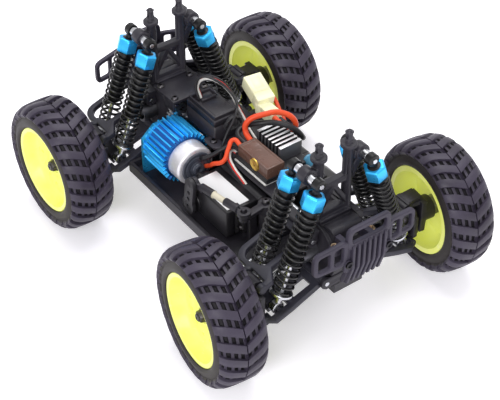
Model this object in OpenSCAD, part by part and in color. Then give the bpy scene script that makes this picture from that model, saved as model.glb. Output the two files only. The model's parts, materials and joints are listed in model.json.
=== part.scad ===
// Radio-controlled four-wheel-drive truck-style buggy chassis, without its body shell.
// Frame: +X forward, +Y to the car's left, +Z up, ground at z = 0, sizes in millimetres.
// The suspension is drawn at full droop, the steering at the angle given below.

/* [Car] */
// Distance between the front and rear axles
wheelbase = 174; // [168:1:184]
// Distance between the wheels' centre planes
track = 171; // [167:1:177]
// Tyre diameter over the tread
tyre_d = 88; // [85:1:91]
// Tyre width over the sidewalls
tyre_w = 31.2; // [29:0.2:32]

/* [Wheels] */
// Diameter of the tyre's bore on the rim
bead_d = 56; // [54:0.5:57]
// Width of the rim over its lips
rim_w = 28.6; // [27:0.2:29]
// Depth of the tread grooves
groove_depth = 2.6; // [1.5:0.1:3]
// Width of the tread grooves
groove_w = 3.6; // [2.5:0.1:4.5]
// Tread blocks round each tyre
tread_count = 26; // [20:1:28]
// Diameter of the stub axle
axle_d = 5; // [4:0.5:5.5]

/* [Suspension] */
// Height of the inner arm hinges over the outer ones at droop
arm_drop = 12.6; // [11:0.2:14]
// Distance of the inner arm hinges from the centre plane
arm_in_y = 17; // [16.5:0.5:18]
// Diameter of the hinge pins
pin_d = 3; // [2.5:0.1:3.4]
// Thickness of the arms
arm_t = 4; // [3:0.2:5]
// Height of the shocks' upper pins over the ground
shock_top_z = 116.5; // [113:0.5:120]
// Distance of the shocks' upper pins from the centre plane
shock_top_y = 19.5; // [18.5:0.5:21]
// Distance of each shock from its tower's plane
shock_dx = 11; // [10.6:0.2:11.4]
// Outside diameter of the springs
spring_d = 13.4; // [12.8:0.2:14.2]
// Spring wire thickness
wire_d = 1.6; // [1.2:0.1:1.7]
// Coils of each spring
spring_coils = 14; // [10:1:15]
// Diameter of the shock barrels
barrel_d = 9.2; // [8:0.2:9.4]

/* [Steering] */
// Steering angle at rest, positive to the car's left
steer = -6.7; // [-8:0.1:4]
// Length of the knuckles' steering arms
steer_arm = 22; // [20:0.5:23]
// Length of the servo horn
horn_len = 18.2; // [17:0.2:20]
// Length of the servo
servo_len = 41; // [36:1:42]

/* [Drive] */
// Gear module of the spur and the motor pinion
gear_m = 0.8; // [0.7:0.05:0.8]
// Teeth of the spur gear
spur_teeth = 44; // [40:1:46]
// Teeth of the motor pinion
pinion_teeth = 14; // [12:1:16]
// Diameter of the motor can
motor_d = 27.6; // [24:0.4:28.4]
// Length of the motor can
motor_len = 32; // [28:1:34]
// Cooling fins round the motor mount
fin_count = 30; // [20:1:34]

/* [Chassis] */
// Thickness of the chassis plate
plate_t = 3; // [2:0.5:3.5]
// Width of the chassis plate
chassis_w = 92; // [88:1:94]
// Height of the chassis' side lips over the plate
lip_h = 5; // [3:0.5:7]
// Height of the body posts' tips over the ground
post_top_z = 135; // [131:1:140]
// Length of the battery pack
battery_len = 92; // [80:1:96]

/* [Hidden] */
$fn = 48;
eps = 0.01;
// Radial play of turning fits, and of the pivots where a linkage is left open
run = 0.06;
loose = 0.9;
// Gap between faces of pieces that move past each other
gap = 0.4;

// Wheel centres, and the planes worked out from them
ax = wheelbase / 2;
wy = track / 2;
wz = tyre_d / 2;
hub_off = 28.5;
arm_out_y = wy - hub_off;
arm_span = arm_out_y - arm_in_y;
arm_len = norm([arm_span, arm_drop]);
droop = atan2(arm_drop, arm_span);
low_out_z = wz - 12;
low_in_z = low_out_z + arm_drop;
up_out_z = wz + 11;
up_in_z = up_out_z + arm_drop;
king_y = wy - 19.5;
pin_r = pin_d / 2;
bore_r = pin_r + run;
eye_r = pin_r + 1.7;
axle_r = axle_d / 2;

// Drive line: cups on the differentials and the stub axles, and the dogbones between them
diff_z = up_in_z - 10.6;
cup_r = 6.2;
cup_bore_r = 4.8;
cup_end_y = 23.5;
case_y = 13;
case_r = 21;
dog_in_y = 19.5;
dog_out_y = wy - 23.5;
dog_r = 1.6;
shaft_r = 2.5;
spur_x = -(ax - 23.3);
spur_w = 4;
gear_dist = gear_m * (spur_teeth + pinion_teeth) / 2;
motor_z = diff_z - 4;
motor_y = -sqrt(gear_dist * gear_dist - 16);
motor_x = spur_x + 6.7;
motor_r = motor_d / 2;
sink_r = motor_r + 4.4;

// Shock axis, from the tower pin to the pin on the lower arm
shock_u = 31.7;
shock_v = 2.5;
shock_low_y = arm_in_y + shock_u * cos(droop) + shock_v * sin(droop);
shock_low_z = low_in_z - shock_u * sin(droop) + shock_v * cos(droop);
shock_dy = shock_low_y - shock_top_y;
shock_dz = shock_top_z - shock_low_z;
shock_len = norm([shock_dy, shock_dz]);
shock_tilt = atan2(shock_dy, shock_dz);
cap_from = 6.2;
cap_to = 15.7;
cap_r = 7;
barrel_to = 52;
perch_from = shock_len - 11;
spring_r = (spring_d - wire_d) / 2;
eye_w = 5;

// Steering
tie_x = ax - steer_arm;
tie_low_z = wz - 5;
tie_in_y = king_y - arm_span;
tie_in_z = tie_low_z + arm_drop;
relay_x = tie_x - 4.6;
crank_x = 42;
crank_y = -14;
crank_arm = 19;
horn_x = -3;
horn_z = 43;
servo_z = horn_z + 3;
horn_y = -39.7;
link_y = -37.9;
// Where the knuckles' angle puts the relay plate, bellcrank, horn and drag link
relay_shift = -steer_arm * sin(steer);
crank_turn = asin(relay_shift / (relay_x - crank_x));
horn_turn = asin(crank_arm * sin(crank_turn) / horn_len);

// Chassis levels
floor_z = wz - 14;
deck_z = floor_z + plate_t;
shelf_z = diff_z + 3.5;
shelf_t = 1.5;
half_w = chassis_w / 2;

module corner(fx, fy)
    mirror([fx < 0 ? 1 : 0, 0, 0]) mirror([0, fy < 0 ? 1 : 0, 0]) children();

// Turns the pieces of a front wheel about their kingpin
module steered(fx, fy) {
    king = [ax, fy * king_y, 0];
    translate(king) rotate(fx > 0 ? steer : 0) translate(-king) children();
}

// Cylinder along X, centred on its length
module rod_x(r, l) rotate([0, 90, 0]) cylinder(r = r, h = l, center = true);

// Cylinder along Y from y0 to y1
module rod_y(r, y0, y1) translate([0, y0, 0]) rotate([-90, 0, 0]) cylinder(r = r, h = y1 - y0);

// Box given by its two corners
module box(a, b) translate(a) cube(b - a);

// Tyre carcass with chevron grooves, seated on the rim's bead and lips
function tyre_profile() = let (h = tyre_w / 2, r = wz, b = bead_d / 2, lip = rim_w / 2) [
    [b, -h + 2.8], [b + 1.6, -lip + 1.4], [b + 1.6, -lip], [b + 2.6, -h + 0.6], [b + 7, -h],
    [r - 5, -h + 0.8], [r - 2.4, -h + 2.4], [r - 0.5, -h + 6], [r, 0], [r - 0.5, h - 6], [r - 2.4, h - 2.4],
    [r - 5, h - 0.8], [b + 7, h], [b + 2.6, h - 0.6], [b + 1.6, lip], [b + 1.6, lip - 1.4], [b, h - 2.8]
];

module tyre(fx, fy) {
    color("dimgray") steered(fx, fy) translate([fx * ax, fy * wy, wz]) difference() {
        rotate([-90, 0, 0]) rotate_extrude() polygon(tyre_profile());
        for (i = [0 : tread_count - 1], s = [-1, 1])
            rotate([0, i * 360 / tread_count, 0]) translate([tyre_w / 8, 0, wz]) rotate([0, 0, s * 28])
                translate([0, s * tyre_w / 2, 0]) cube([groove_w, tyre_w * 0.9, 2 * groove_depth], center = true);
    }
}

// Deep-dish rim with its hub, drive hex, stub axle, dogbone cup and wheel nut
function rim_profile() = let (h = rim_w / 2, b = bead_d / 2) [
    [b - 2, -h], [b + 1.6, -h], [b + 1.6, -h + 1.4], [b, -tyre_w / 2 + 2.8], [b, tyre_w / 2 - 2.8],
    [b + 1.6, h - 1.4], [b + 1.6, h], [b - 1.4, h], [b - 3, h - 5], [b - 5, 5], [axle_r, 5], [axle_r, 2.5],
    [b - 4, 2.5], [b - 2, 0]
];

module rim(fx, fy) {
    color("greenyellow") steered(fx, fy) corner(fx, fy) translate([ax, 0, wz]) {
        translate([0, wy, 0]) rotate([-90, 0, 0]) rotate_extrude() polygon(rim_profile());
        rod_y(axle_r, king_y + 1, wy + 9.5);
        difference() {
            rod_y(cup_r, king_y - 8.5, king_y + 1.5);
            rod_y(cup_bore_r, king_y - 9, king_y);
        }
        translate([0, wy - 4.5, 0]) rotate([-90, 30, 0]) cylinder(r = 6.6, h = 7, $fn = 6);
        translate([0, wy + 5, 0]) rotate([-90, 30, 0]) cylinder(r = 4.3, h = 3.6, $fn = 6);
    }
}

// Places its children on an arm: local Y runs from the inner hinge to the outer one
module arm_frame(z) translate([ax, arm_in_y, z]) rotate([-droop, 0, 0]) children();

// Lower arm with hinge tube, clevis, shock pin block and hinge pin
module lower_arm(fx, fy) {
    lug = 9.5;
    color("black") corner(fx, fy) arm_frame(low_in_z) {
        difference() {
            union() {
                rod_x(eye_r, 33.4);
                translate([0, 0, -arm_t / 2]) linear_extrude(arm_t)
                    polygon([[-16.7, 0], [16.7, 0], [18.5, shock_u - 6], [18.5, shock_u + 6], [14, arm_len],
                        [-14, arm_len], [-18.5, shock_u + 6], [-18.5, shock_u - 6]]);
                for (s = [-1, 1]) translate([s * (lug + 2.25), arm_len, 0]) rod_x(eye_r, 4.5);
                box([-7.4, shock_u - 4, -arm_t / 2], [7.4, shock_u + 4, shock_v + eye_r]);
            }
            rod_x(bore_r, 40);
            for (s = [-1, 1]) {
                translate([s * shock_dx, shock_u, 0]) box([-eye_w / 2 - gap, -6.2, -6], [eye_w / 2 + gap, 6.2, 10]);
                translate([s * 9, 13.5, 0]) cube([8, 13, 10], center = true);
            }
            box([-lug, arm_len - 5.2, -6], [lug, arm_len + 6, 6]);
        }
        translate([0, arm_len, 0]) rod_x(pin_r, 28);
        translate([0, shock_u, shock_v]) rod_x(pin_r, 2 * shock_dx + eye_w + 1);
    }
}

// Upper arm: an oval ring round the inner shock, with a clevis at the hub end
module upper_arm(fx, fy) {
    lug = 6.4;
    mid = -11;
    color("black") translate([(fx - 1) * ax, 0, 0]) corner(1, fy) arm_frame(up_in_z) {
        difference() {
            union() {
                translate([mid, 0, 0]) rod_x(eye_r, 26);
                translate([0, 0, -arm_t / 2]) linear_extrude(arm_t) {
                    difference() {
                        hull() for (s = [-1, 1]) {
                            translate([mid + s * 9, 4]) circle(4);
                            translate([mid + s * 4, arm_len - 12]) circle(9);
                        }
                        hull() for (s = [-1, 1]) {
                            translate([mid + s * 6, 6.4]) circle(3);
                            translate([mid + s * 2.6, arm_len - 13]) circle(6.2);
                        }
                    }
                    translate([0, arm_len]) polygon([[-10.6, -7.4], [-4, -10], [0.6, -14], [10.6, -7.4], [10.6, 0],
                        [lug, 0], [lug, -4.4], [-lug, -4.4], [-lug, 0], [-10.6, 0]]);
                }
                for (s = [-1, 1]) translate([s * (lug + 2.1), arm_len, 0]) rod_x(eye_r, 4.2);
            }
            translate([mid, 0, 0]) rod_x(bore_r, 30);
            box([-lug, arm_len - 4.4, -6], [lug, arm_len + 6, 6]);
        }
        translate([0, arm_len, 0]) rod_x(pin_r, 21.2);
    }
}

// Frame of the wheel carrier round the dogbone cup, with its two hinge bosses
module carrier_frame() {
    difference() {
        union() {
            box([-8.6, arm_out_y + 0.5, -15], [8.6, arm_out_y + 4, -6.9]);
            box([-13, arm_out_y + 0.5, -8], [13, arm_out_y + 4, 7.4]);
            box([-5.8, arm_out_y + 0.5, 6.9], [5.8, arm_out_y + 4, 15]);
            translate([0, arm_out_y, -12]) rod_x(eye_r, 17.2);
            translate([0, arm_out_y, 11]) rod_x(eye_r, 11.6);
        }
        translate([0, arm_out_y, -12]) rod_x(bore_r, 30);
        translate([0, arm_out_y, 11]) rod_x(bore_r, 30);
        box([-10.4, arm_out_y - 5, -6.9], [10.4, arm_out_y + 6, 6.9]);
    }
}

// Bearing barrel round the stub axle, with the plates that the kingpins go through
module bearing_barrel(top) {
    difference() {
        union() {
            rod_y(8, king_y + 3, king_y + 14);
            box([-7.5, king_y + 3, -top], [7.5, king_y + 7, top]);
            for (s = [-1, 1]) translate([0, 0, s * (top - 1.5)]) box([-5, king_y - 3.4, -1.5], [5, king_y + 7, 1.5]);
        }
        rod_y(axle_r + run, king_y, king_y + 20);
    }
}

// Front: C-hub with two kingpins. Rear: fixed bearing carrier.
module carrier(fx, fy) {
    color("dimgray") corner(fx, fy) translate([ax, 0, wz]) {
        carrier_frame();
        if (fx > 0) {
            for (s = [-1, 1]) translate([0, 0, s * 13.9]) {
                box([-5, arm_out_y + 2, -1.4], [5, king_y + 4, 1.4]);
                translate([0, king_y, -s * 2.8]) cylinder(r = pin_r, h = 5, center = true);
            }
        } else {
            bearing_barrel(12);
            for (s = [-1, 1]) translate([0, 0, s * 10.5]) box([-5, arm_out_y + 2, -1.5], [5, king_y, 1.5]);
        }
    }
}

// Front steering knuckle with its steering arm and tie-rod stud
module knuckle(fy) {
    arm_z = -9.9;
    color("black") steered(1, fy) corner(1, fy) translate([ax, 0, wz]) {
        difference() {
            bearing_barrel(12);
            translate([0, king_y, 0]) cylinder(r = bore_r, h = 40, center = true);
        }
        box([-steer_arm - 2.6, king_y - 1.6, arm_z - 1.5], [-4.9, king_y + 2.6, arm_z + 1.5]);
        translate([-steer_arm, king_y, arm_z]) cylinder(r = 1.2, h = 7.9);
    }
}

// Steel dogbone with a ball and a cross pin at each end
module dogbone(fx, fy) {
    dz = diff_z - wz;
    dy = dog_out_y - dog_in_y;
    len = norm([dy, dz]);
    color("silver") corner(fx, fy) translate([ax, dog_in_y, diff_z]) rotate([-90 - atan2(dz, dy), 0, 0]) {
        cylinder(r = dog_r, h = len);
        for (z = [0, len]) translate([0, 0, z]) {
            sphere(r = 2.3);
            rod_x(0.9, 4.8);
        }
    }
}

// Places its children at a shock's upper pin, with local Z down along the shock
module shock_frame(dx) translate([ax + dx, shock_top_y, shock_top_z]) rotate([180 + shock_tilt, 0, 0]) children();

// Shock barrels with their upper eyes and hexagonal caps
module shock_bodies(fx, fy) {
    color("steelblue") corner(fx, fy) for (s = [-1, 1]) shock_frame(s * shock_dx) difference() {
        union() {
            rod_x(eye_r + 0.8, eye_w);
            translate([0, 0, cap_from / 2 + 1]) cube([eye_w, 5, cap_from], center = true);
            translate([0, 0, cap_from]) rotate(30) cylinder(r = cap_r, h = cap_to - cap_from, $fn = 6);
            cylinder(r = 2.2, h = cap_from);
            translate([0, 0, cap_to - eps]) cylinder(d = barrel_d, h = barrel_to - cap_to);
        }
        rod_x(bore_r, 10);
        translate([0, 0, barrel_to - 24]) cylinder(r = barrel_d / 2 - 1.4, h = 20);
        translate([0, 0, barrel_to - 5]) cylinder(r = pin_r + run, h = 10);
    }
}

// Shock rods with the spring perches and the lower eyes
module shock_rods(fx, fy) {
    color("silver") corner(fx, fy) for (s = [-1, 1]) shock_frame(s * shock_dx) {
        translate([0, 0, barrel_to - 10]) cylinder(r = pin_r, h = shock_len - barrel_to + 10 - eye_r - loose);
        translate([0, 0, perch_from]) cylinder(d = spring_d + 0.8, h = 1.6);
        translate([0, 0, perch_from + 1.5]) cylinder(r = 3, h = 3.5);
        translate([0, 0, shock_len]) difference() {
            union() {
                rod_x(eye_r + 1, eye_w);
                translate([0, 0, -4.5]) cube([eye_w, 4.4, 5], center = true);
            }
            rod_x(pin_r + loose - 0.2, 10);
        }
    }
}

// Triangles over n + 1 rings of m points each, closed at both ends
function skin(n, m) = [
    for (i = [0 : n - 1], j = [0 : m - 1]) let (a = i * m + j, b = i * m + (j + 1) % m)
        each [[a, b + m, a + m], [a, b, b + m]],
    for (j = [1 : m - 2]) each [[0, j + 1, j], [n * m, n * m + j, n * m + j + 1]]
];

// Coil of square-sided wire between z0 and z1
module coil(z0, z1) {
    turn = 12;
    n = spring_coils * turn;
    w = wire_d / 2;
    pts = [for (i = [0 : n], k = [0 : 3])
        let (a = i * 360 / turn, q = 45 + 90 * k, r = spring_r + w * cos(q))
        [r * cos(a), r * sin(a), z0 + w + (z1 - z0 - 2 * w) * i / n + w * sin(q)]];
    polyhedron(pts, skin(n, 4), 4);
}

module springs(fx, fy) {
    color("black") corner(fx, fy) for (s = [-1, 1]) shock_frame(s * shock_dx) coil(cap_to + 0.3, perch_from - 0.3);
}

// Servo arm on the output spline, pointing up
module servo_horn() {
    tip_r = 4.6;
    color("black") translate([horn_x, horn_y, horn_z]) rotate([0, horn_turn, 0]) {
        difference() {
            union() {
                rod_y(6, -2.8, 0);
                box([-tip_r, -2.8, 0], [tip_r, 0, horn_len]);
                translate([0, 0, horn_len]) rod_y(tip_r, -2.8, 0);
            }
            rod_y(3 + run, -4, 1);
            for (z = [6.5, 12]) translate([0, 0, horn_len - z]) rod_y(1.3, -4, 1);
        }
        translate([0, 0, horn_len]) rod_y(pin_r, -3.4, 3.6);
    }
}

// Link from the horn to the bellcrank: two stout rod ends on a slimmer middle
module drag_link() {
    from = [horn_x + horn_len * sin(horn_turn), link_y, horn_z + horn_len * cos(horn_turn)];
    to = [crank_x + crank_arm * sin(crank_turn), crank_y - crank_arm + 0.4, diff_z + 7.8];
    d = to - from;
    end_r = 2.6;
    end_len = 12;
    color("dimgray") {
        translate(from) difference() {
            union() {
                rod_y(eye_r + 1, -1.3, 1.3);
                box([2, -1.2, -2], [9, 1.2, 2]);
            }
            rod_y(bore_r, -3, 3);
        }
        translate(from) rotate([0, acos(d[2] / norm(d)), atan2(d[1], d[0])]) {
            translate([0, 0, 6.4]) cylinder(r = end_r, h = end_len);
            translate([0, 0, 6.4]) cylinder(r = end_r - 0.6, h = norm(d) - 11);
            translate([0, 0, norm(d) - 5 - end_len]) cylinder(r = end_r, h = end_len);
        }
        translate(to) difference() {
            union() {
                cylinder(r = 4.4, h = 3, center = true);
                box([-9, -1.6, -1.5], [-3, 1.6, 1.5]);
            }
            cylinder(r = 1.2 + loose, h = 10, center = true);
        }
    }
}

// Bellcrank on its post: input arm to the right, output arm forward
module bellcrank() {
    out = relay_x - crank_x;
    color("black") translate([crank_x, crank_y, 0]) rotate(crank_turn) {
        difference() {
            union() {
                translate([0, 0, tie_in_z + 2.6]) cylinder(r = 5, h = diff_z + 5 - tie_in_z - 2.6);
                box([0, -2.5, tie_in_z + 2.6], [out, 2.5, tie_in_z + 5.4]);
                translate([out, 0, tie_in_z + 2.6]) cylinder(r = 3, h = 2.8);
                box([-2.5, -crank_arm, diff_z + 2.2], [2.5, 0, diff_z + 5]);
                translate([0, -crank_arm, diff_z + 2.2]) cylinder(r = 3, h = 2.8);
            }
            cylinder(r = shaft_r + run, h = 200);
        }
        translate([0, -crank_arm, diff_z + 4]) cylinder(r = 1.2, h = 7);
        translate([out, 0, tie_in_z - 1.8]) cylinder(r = 1.2, h = 5.4);
    }
}

// Sliding relay plate that carries both tie rods' inner pins
module relay_plate() {
    color("dimgray") translate([0, relay_shift, 0]) difference() {
        union() {
            box([relay_x - 4, -tie_in_y - 3, tie_in_z - 2], [relay_x + 2.5, tie_in_y + 3, tie_in_z + 2]);
            for (s = [-1, 1]) translate([tie_x - 0.2, s * tie_in_y, tie_in_z]) rod_x(pin_r, 5.4);
        }
        translate([relay_x - 0.4, crank_y, tie_in_z]) cube([3.8, 2.4 + 2 * gap, 10], center = true);
    }
}

// Tie rod from the relay plate down to the knuckle's stud
module tie_rod(fy) {
    color("silver") translate([0, relay_shift, 0]) corner(1, fy) {
        translate([tie_x, tie_in_y, tie_in_z]) {
            difference() {
                rod_x(eye_r, 3.6);
                rod_x(bore_r, 10);
            }
            rotate([-90 - droop, 0, 0]) translate([0, 0, eye_r - 0.4]) cylinder(r = 1.5, h = arm_len - eye_r - 2.4);
        }
        translate([tie_x, king_y, tie_low_z]) difference() {
            cylinder(r = 3.3, h = 3.6, center = true);
            cylinder(r = 1.2 + loose, h = 10, center = true);
        }
    }
}

// Spur-type gear outline with straight-sided teeth
module gear_outline(m, n, backlash) {
    r = m * n / 2;
    root = r - 1.25 * m;
    tip = r + 0.9 * m;
    w = 90 / n - backlash;
    difference() {
        circle(r = tip);
        for (i = [0 : n - 1]) rotate((i + 0.5) * 360 / n)
            polygon([[root, -root * sin(180 / n - w * 1.35)], [tip + 1, -(tip + 1) * sin(180 / n - w * 0.55)],
                [tip + 1, (tip + 1) * sin(180 / n - w * 0.55)], [root, root * sin(180 / n - w * 1.35)]]);
    }
}

crown_teeth = 30;
crown_pinion_teeth = 10;
crown_r = 13.5;
crown_pinion_r = crown_r * crown_pinion_teeth / crown_teeth;

// Small bevel pinion, as straight teeth round a core
module crown_pinion() {
    rotate([0, 90, 0]) {
        cylinder(r = crown_pinion_r - 1.4, h = 6);
        for (i = [0 : crown_pinion_teeth - 1]) rotate(i * 360 / crown_pinion_teeth)
            box([1, -0.35, 0], [crown_pinion_r + 0.5, 0.35, 5.6]);
    }
}

// Propeller shaft along the car, with the spur gear and a bevel pinion at each end
module centre_shaft() {
    color("silver") translate([0, 0, diff_z]) {
        rod_x(shaft_r, 2 * (ax - crown_r) + 2);
        for (s = [0, 180]) rotate(s) translate([ax - crown_r - 2.4, 0, 0]) crown_pinion();
        translate([spur_x - spur_w / 2, 0, 0]) rotate([0, 90, 0]) linear_extrude(spur_w)
            gear_outline(gear_m, spur_teeth, 0.5);
    }
}

// Pinion on the motor shaft, turned so that a gap meets the spur's nearest tooth
module motor_pinion() {
    pitch = 360 / spur_teeth;
    line = atan2(motor_y, diff_z - motor_z);
    off = round(line / pitch) * pitch - line;
    color("goldenrod") translate([spur_x - spur_w / 2, motor_y, motor_z]) rotate([0, 90, 0]) {
        rotate(line + 180 - off * spur_teeth / pinion_teeth - 180 / pinion_teeth)
            linear_extrude(spur_w) gear_outline(gear_m, pinion_teeth, 1.6);
        cylinder(r = 1.5, h = motor_x - spur_x + spur_w / 2 + 5);
    }
}

// Differential: crown wheel, core and two outdrive cups
module diff_unit() {
    difference() {
        union() {
            rod_y(cup_r, -cup_end_y, -9.4);
            rod_y(cup_r, 9.4, cup_end_y);
            rod_y(5.4, -10, 10);
            rod_y(16, 6.8, 9.4);
            for (i = [0 : crown_teeth - 1]) rotate([0, i * 360 / crown_teeth, 0])
                box([11.4, 4.3, -0.35], [15.8, 7, 0.35]);
        }
        for (s = [-1, 1]) translate([0, s * (cup_end_y - 10.6), 0]) rotate([-90 * s, 0, 0])
            cylinder(r = cup_bore_r, h = 20);
    }
}

module front_diff() {
    color("gray") translate([ax, 0, diff_z]) diff_unit();
}

module rear_diff() {
    color("gray") translate([-ax, 0, diff_z]) rotate(180) diff_unit();
}

// Outline of a rectangle between two corners, with rounded corners
function rounded(a, b, r) = [
    for (q = [[b[0] - r, b[1] - r, 0], [a[0] + r, b[1] - r, 90], [a[0] + r, a[1] + r, 180], [b[0] - r, a[1] + r, 270]])
        for (k = [0 : 3]) [q[0] + r * cos(q[2] + 30 * k), q[1] + r * sin(q[2] + 30 * k)]
];

// Front face of the gear cases' covers, forward of the axle
cover_x = 17;

// Gear case of one axle: round case on a foot, with its cover and the arms' hinge lugs
module gear_case(d) {
    lug_r = pin_r + 2.4;
    difference() {
        union() {
            translate([0, 0, diff_z]) rod_y(case_r, -case_y, case_y);
            box([-19.6, -11, deck_z], [19.6, 11, diff_z]);
            box([-20.2, -5, diff_z - 5], [-12, 5, diff_z + 5]);
            translate([0, 11, diff_z]) rotate([90, 0, 0]) linear_extrude(22)
                polygon(rounded([5.4, -2], [cover_x, 22.5], 4));
            for (s = [-1, 1]) {
                for (x = [-18.5, 18.5]) translate([x, s * arm_in_y, low_in_z]) {
                    rod_x(lug_r, 2.8);
                    box([-1.4, s > 0 ? -arm_in_y : 0, -lug_r], [1.4, s > 0 ? 0 : arm_in_y, lug_r]);
                }
                for (x = [-26, 4]) translate([d * x, s * arm_in_y, up_in_z]) {
                    rod_x(lug_r, 3.2);
                    box([-1.6, -lug_r, 0], [1.6, lug_r, 6]);
                }
                translate([-11 * d, s * (arm_in_y - 1.6), up_in_z + 6.3]) cube([33.2, 7.2, 2.6], center = true);
            }
        }
        translate([0, 0, diff_z]) {
            rod_y(case_r - 3.4, -10.6, 10.6);
            rod_y(cup_r + run, -20, 20);
            translate([-16, 0, 0]) rod_x(shaft_r + run, 16);
        }
        for (s = [-1, 1]) translate([0, s * arm_in_y, 0]) {
            translate([0, 0, low_in_z]) rod_x(pin_r, 60);
            translate([-11 * d, 0, up_in_z]) rod_x(pin_r, 60);
        }
    }
}

// Both gear cases and the flat cover over the spur gear
module gearbox_housings() {
    lid_z = diff_z + gear_m * spur_teeth / 2 + 2;
    lid_y = 15;
    rear = -ax + 5.2;
    fore = spur_x + 6;
    color("darkslategray") {
        translate([ax, 0, 0]) gear_case(1);
        translate([-ax, 0, 0]) rotate(180) gear_case(-1);
        box([rear, -lid_y, lid_z], [fore, lid_y, lid_z + 2.4]);
        for (s = [0, 1]) mirror([0, s, 0]) box([spur_x - 5, lid_y - 1.4, lid_z - 6], [fore, lid_y, lid_z + 1]);
    }
}

// Half the thickness of the towers' horns
horn_t = 3.5;

// One truss tower with horns for the shocks and two body posts
module tower() {
    post_y = 11;
    post_seat_r = 2.5;
    top = diff_z + case_r;
    mid = (top + shock_top_z) / 2;
    t = 2.4;
    difference() {
        union() {
            box([-5, -11.6, top - 6], [5, 11.6, top + 2]);
            box([-t, -13, top], [t, 13, top + 5]);
            box([-t, -13, mid + 3], [t, 13, mid + 7]);
            for (s = [-1, 1]) {
                translate([0, s * post_y, top]) cylinder(r = 3.2, h = post_top_z - 11 - top);
                translate([0, s * post_y, post_top_z - 11.5]) cylinder(r = 5, h = 2.6);
                translate([0, s * post_y, post_top_z - 9.5]) cylinder(r = post_seat_r, h = 3.1);
                translate([0, s * post_y, post_top_z - 9.5]) cylinder(r = 2.2, h = 8);
                translate([0, s * post_y, post_top_z - 1.6]) cylinder(r1 = 2.2, r2 = 1.2, h = 1.6);
                translate([0, s * post_y / 2, (top + mid) / 2 + 4]) rotate([s * 32, 0, 0])
                    cube([2 * t, 3, mid - top + 4], center = true);
                translate([0, s * shock_top_y, shock_top_z]) {
                    rod_x(5, 2 * horn_t);
                    rotate([-s * 25, 0, 0]) box([-t, -2.6, -shock_top_z + mid + 2], [t, 2.6, 0]);
                }
                translate([0, s * (post_y + shock_top_y) / 2, shock_top_z])
                    cube([2 * t, shock_top_y - post_y, 5], center = true);
            }
        }
        translate([0, 0, diff_z]) rod_y(case_r, -30, 30);
        for (s = [-1, 1]) translate([0, s * post_y, post_top_z - 5]) rod_y(0.9, -6, 6);
        for (s = [-1, 1]) translate([0, s * shock_top_y, shock_top_z]) rod_x(pin_r, 40);
    }
}

module shock_towers() {
    color("black") for (fx = [-1, 1]) translate([fx * ax, 0, 0]) tower();
}

// Screw bosses of the front bumper's bracket
boss_x = ax + 21;
boss_y = 13.6;
boss_z = wz + 29;

// Rounded rectangular loop in the YZ plane, t thick along X
module loop(y0, z0, y1, z1, bar, t) {
    rotate([90, 0, 90]) linear_extrude(t) difference() {
        polygon(rounded([y0, z0], [y1, z1], 4.4));
        polygon(rounded([y0 + bar, z0 + bar], [y1 - bar, z1 - bar], 2.2));
    }
}

// One bumper: grille with a kinked skid, top loop, two-window side loops and its bracket,
// which has two screw bosses at the front
module bumper(bosses) {
    x0 = ax + 32;
    t = 3.4;
    low = wz + 20;
    high = wz + 42;
    grille = 14;
    slots = 7;
    pitch = 2 * grille / (slots + 1);
    slot_h = 16;
    difference() {
        union() {
            translate([x0, 0, 0]) {
                box([0, -grille - 3, low], [t, grille + 3, high]);
                loop(-13, high - 3, 13, high + 12, 3, t);
                for (s = [0, 1]) mirror([0, s, 0]) {
                    loop(grille, low + 2, 36, high + 1, 3, t);
                    box([0, 24.5, low + 2], [t, 27, high]);
                }
            }
            translate([x0, 0, low]) rotate([0, 24, 0]) box([0, -grille + 1, -17], [t, grille - 1, 2]);
            for (s = [-1, 1]) {
                translate([0, s * 9, 0]) box([ax + cover_x, -2, wz + 26], [x0 + 1, 2, wz + 34]);
                if (bosses) translate([boss_x, s * boss_y, boss_z - 4]) cylinder(r = 3.6, h = 4);
            }
        }
        for (i = [1 : slots]) translate([x0, -grille + i * pitch, 0]) {
            box([1.6, -pitch / 4, high - slot_h - 2], [t + 1, pitch / 4, high - 4]);
            translate([0, 0, low]) rotate([0, 24, 0]) box([1.6, -pitch / 4, -20], [t + 1, pitch / 4, 4]);
        }
        for (s = [-1, 1]) translate([x0, s * 15, wz + 27]) rod_x(pin_r / 2, 20);
    }
}

module bumpers() {
    color("dimgray") for (s = [0, 1]) mirror([s, 0, 0]) bumper(s == 0);
}

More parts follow.
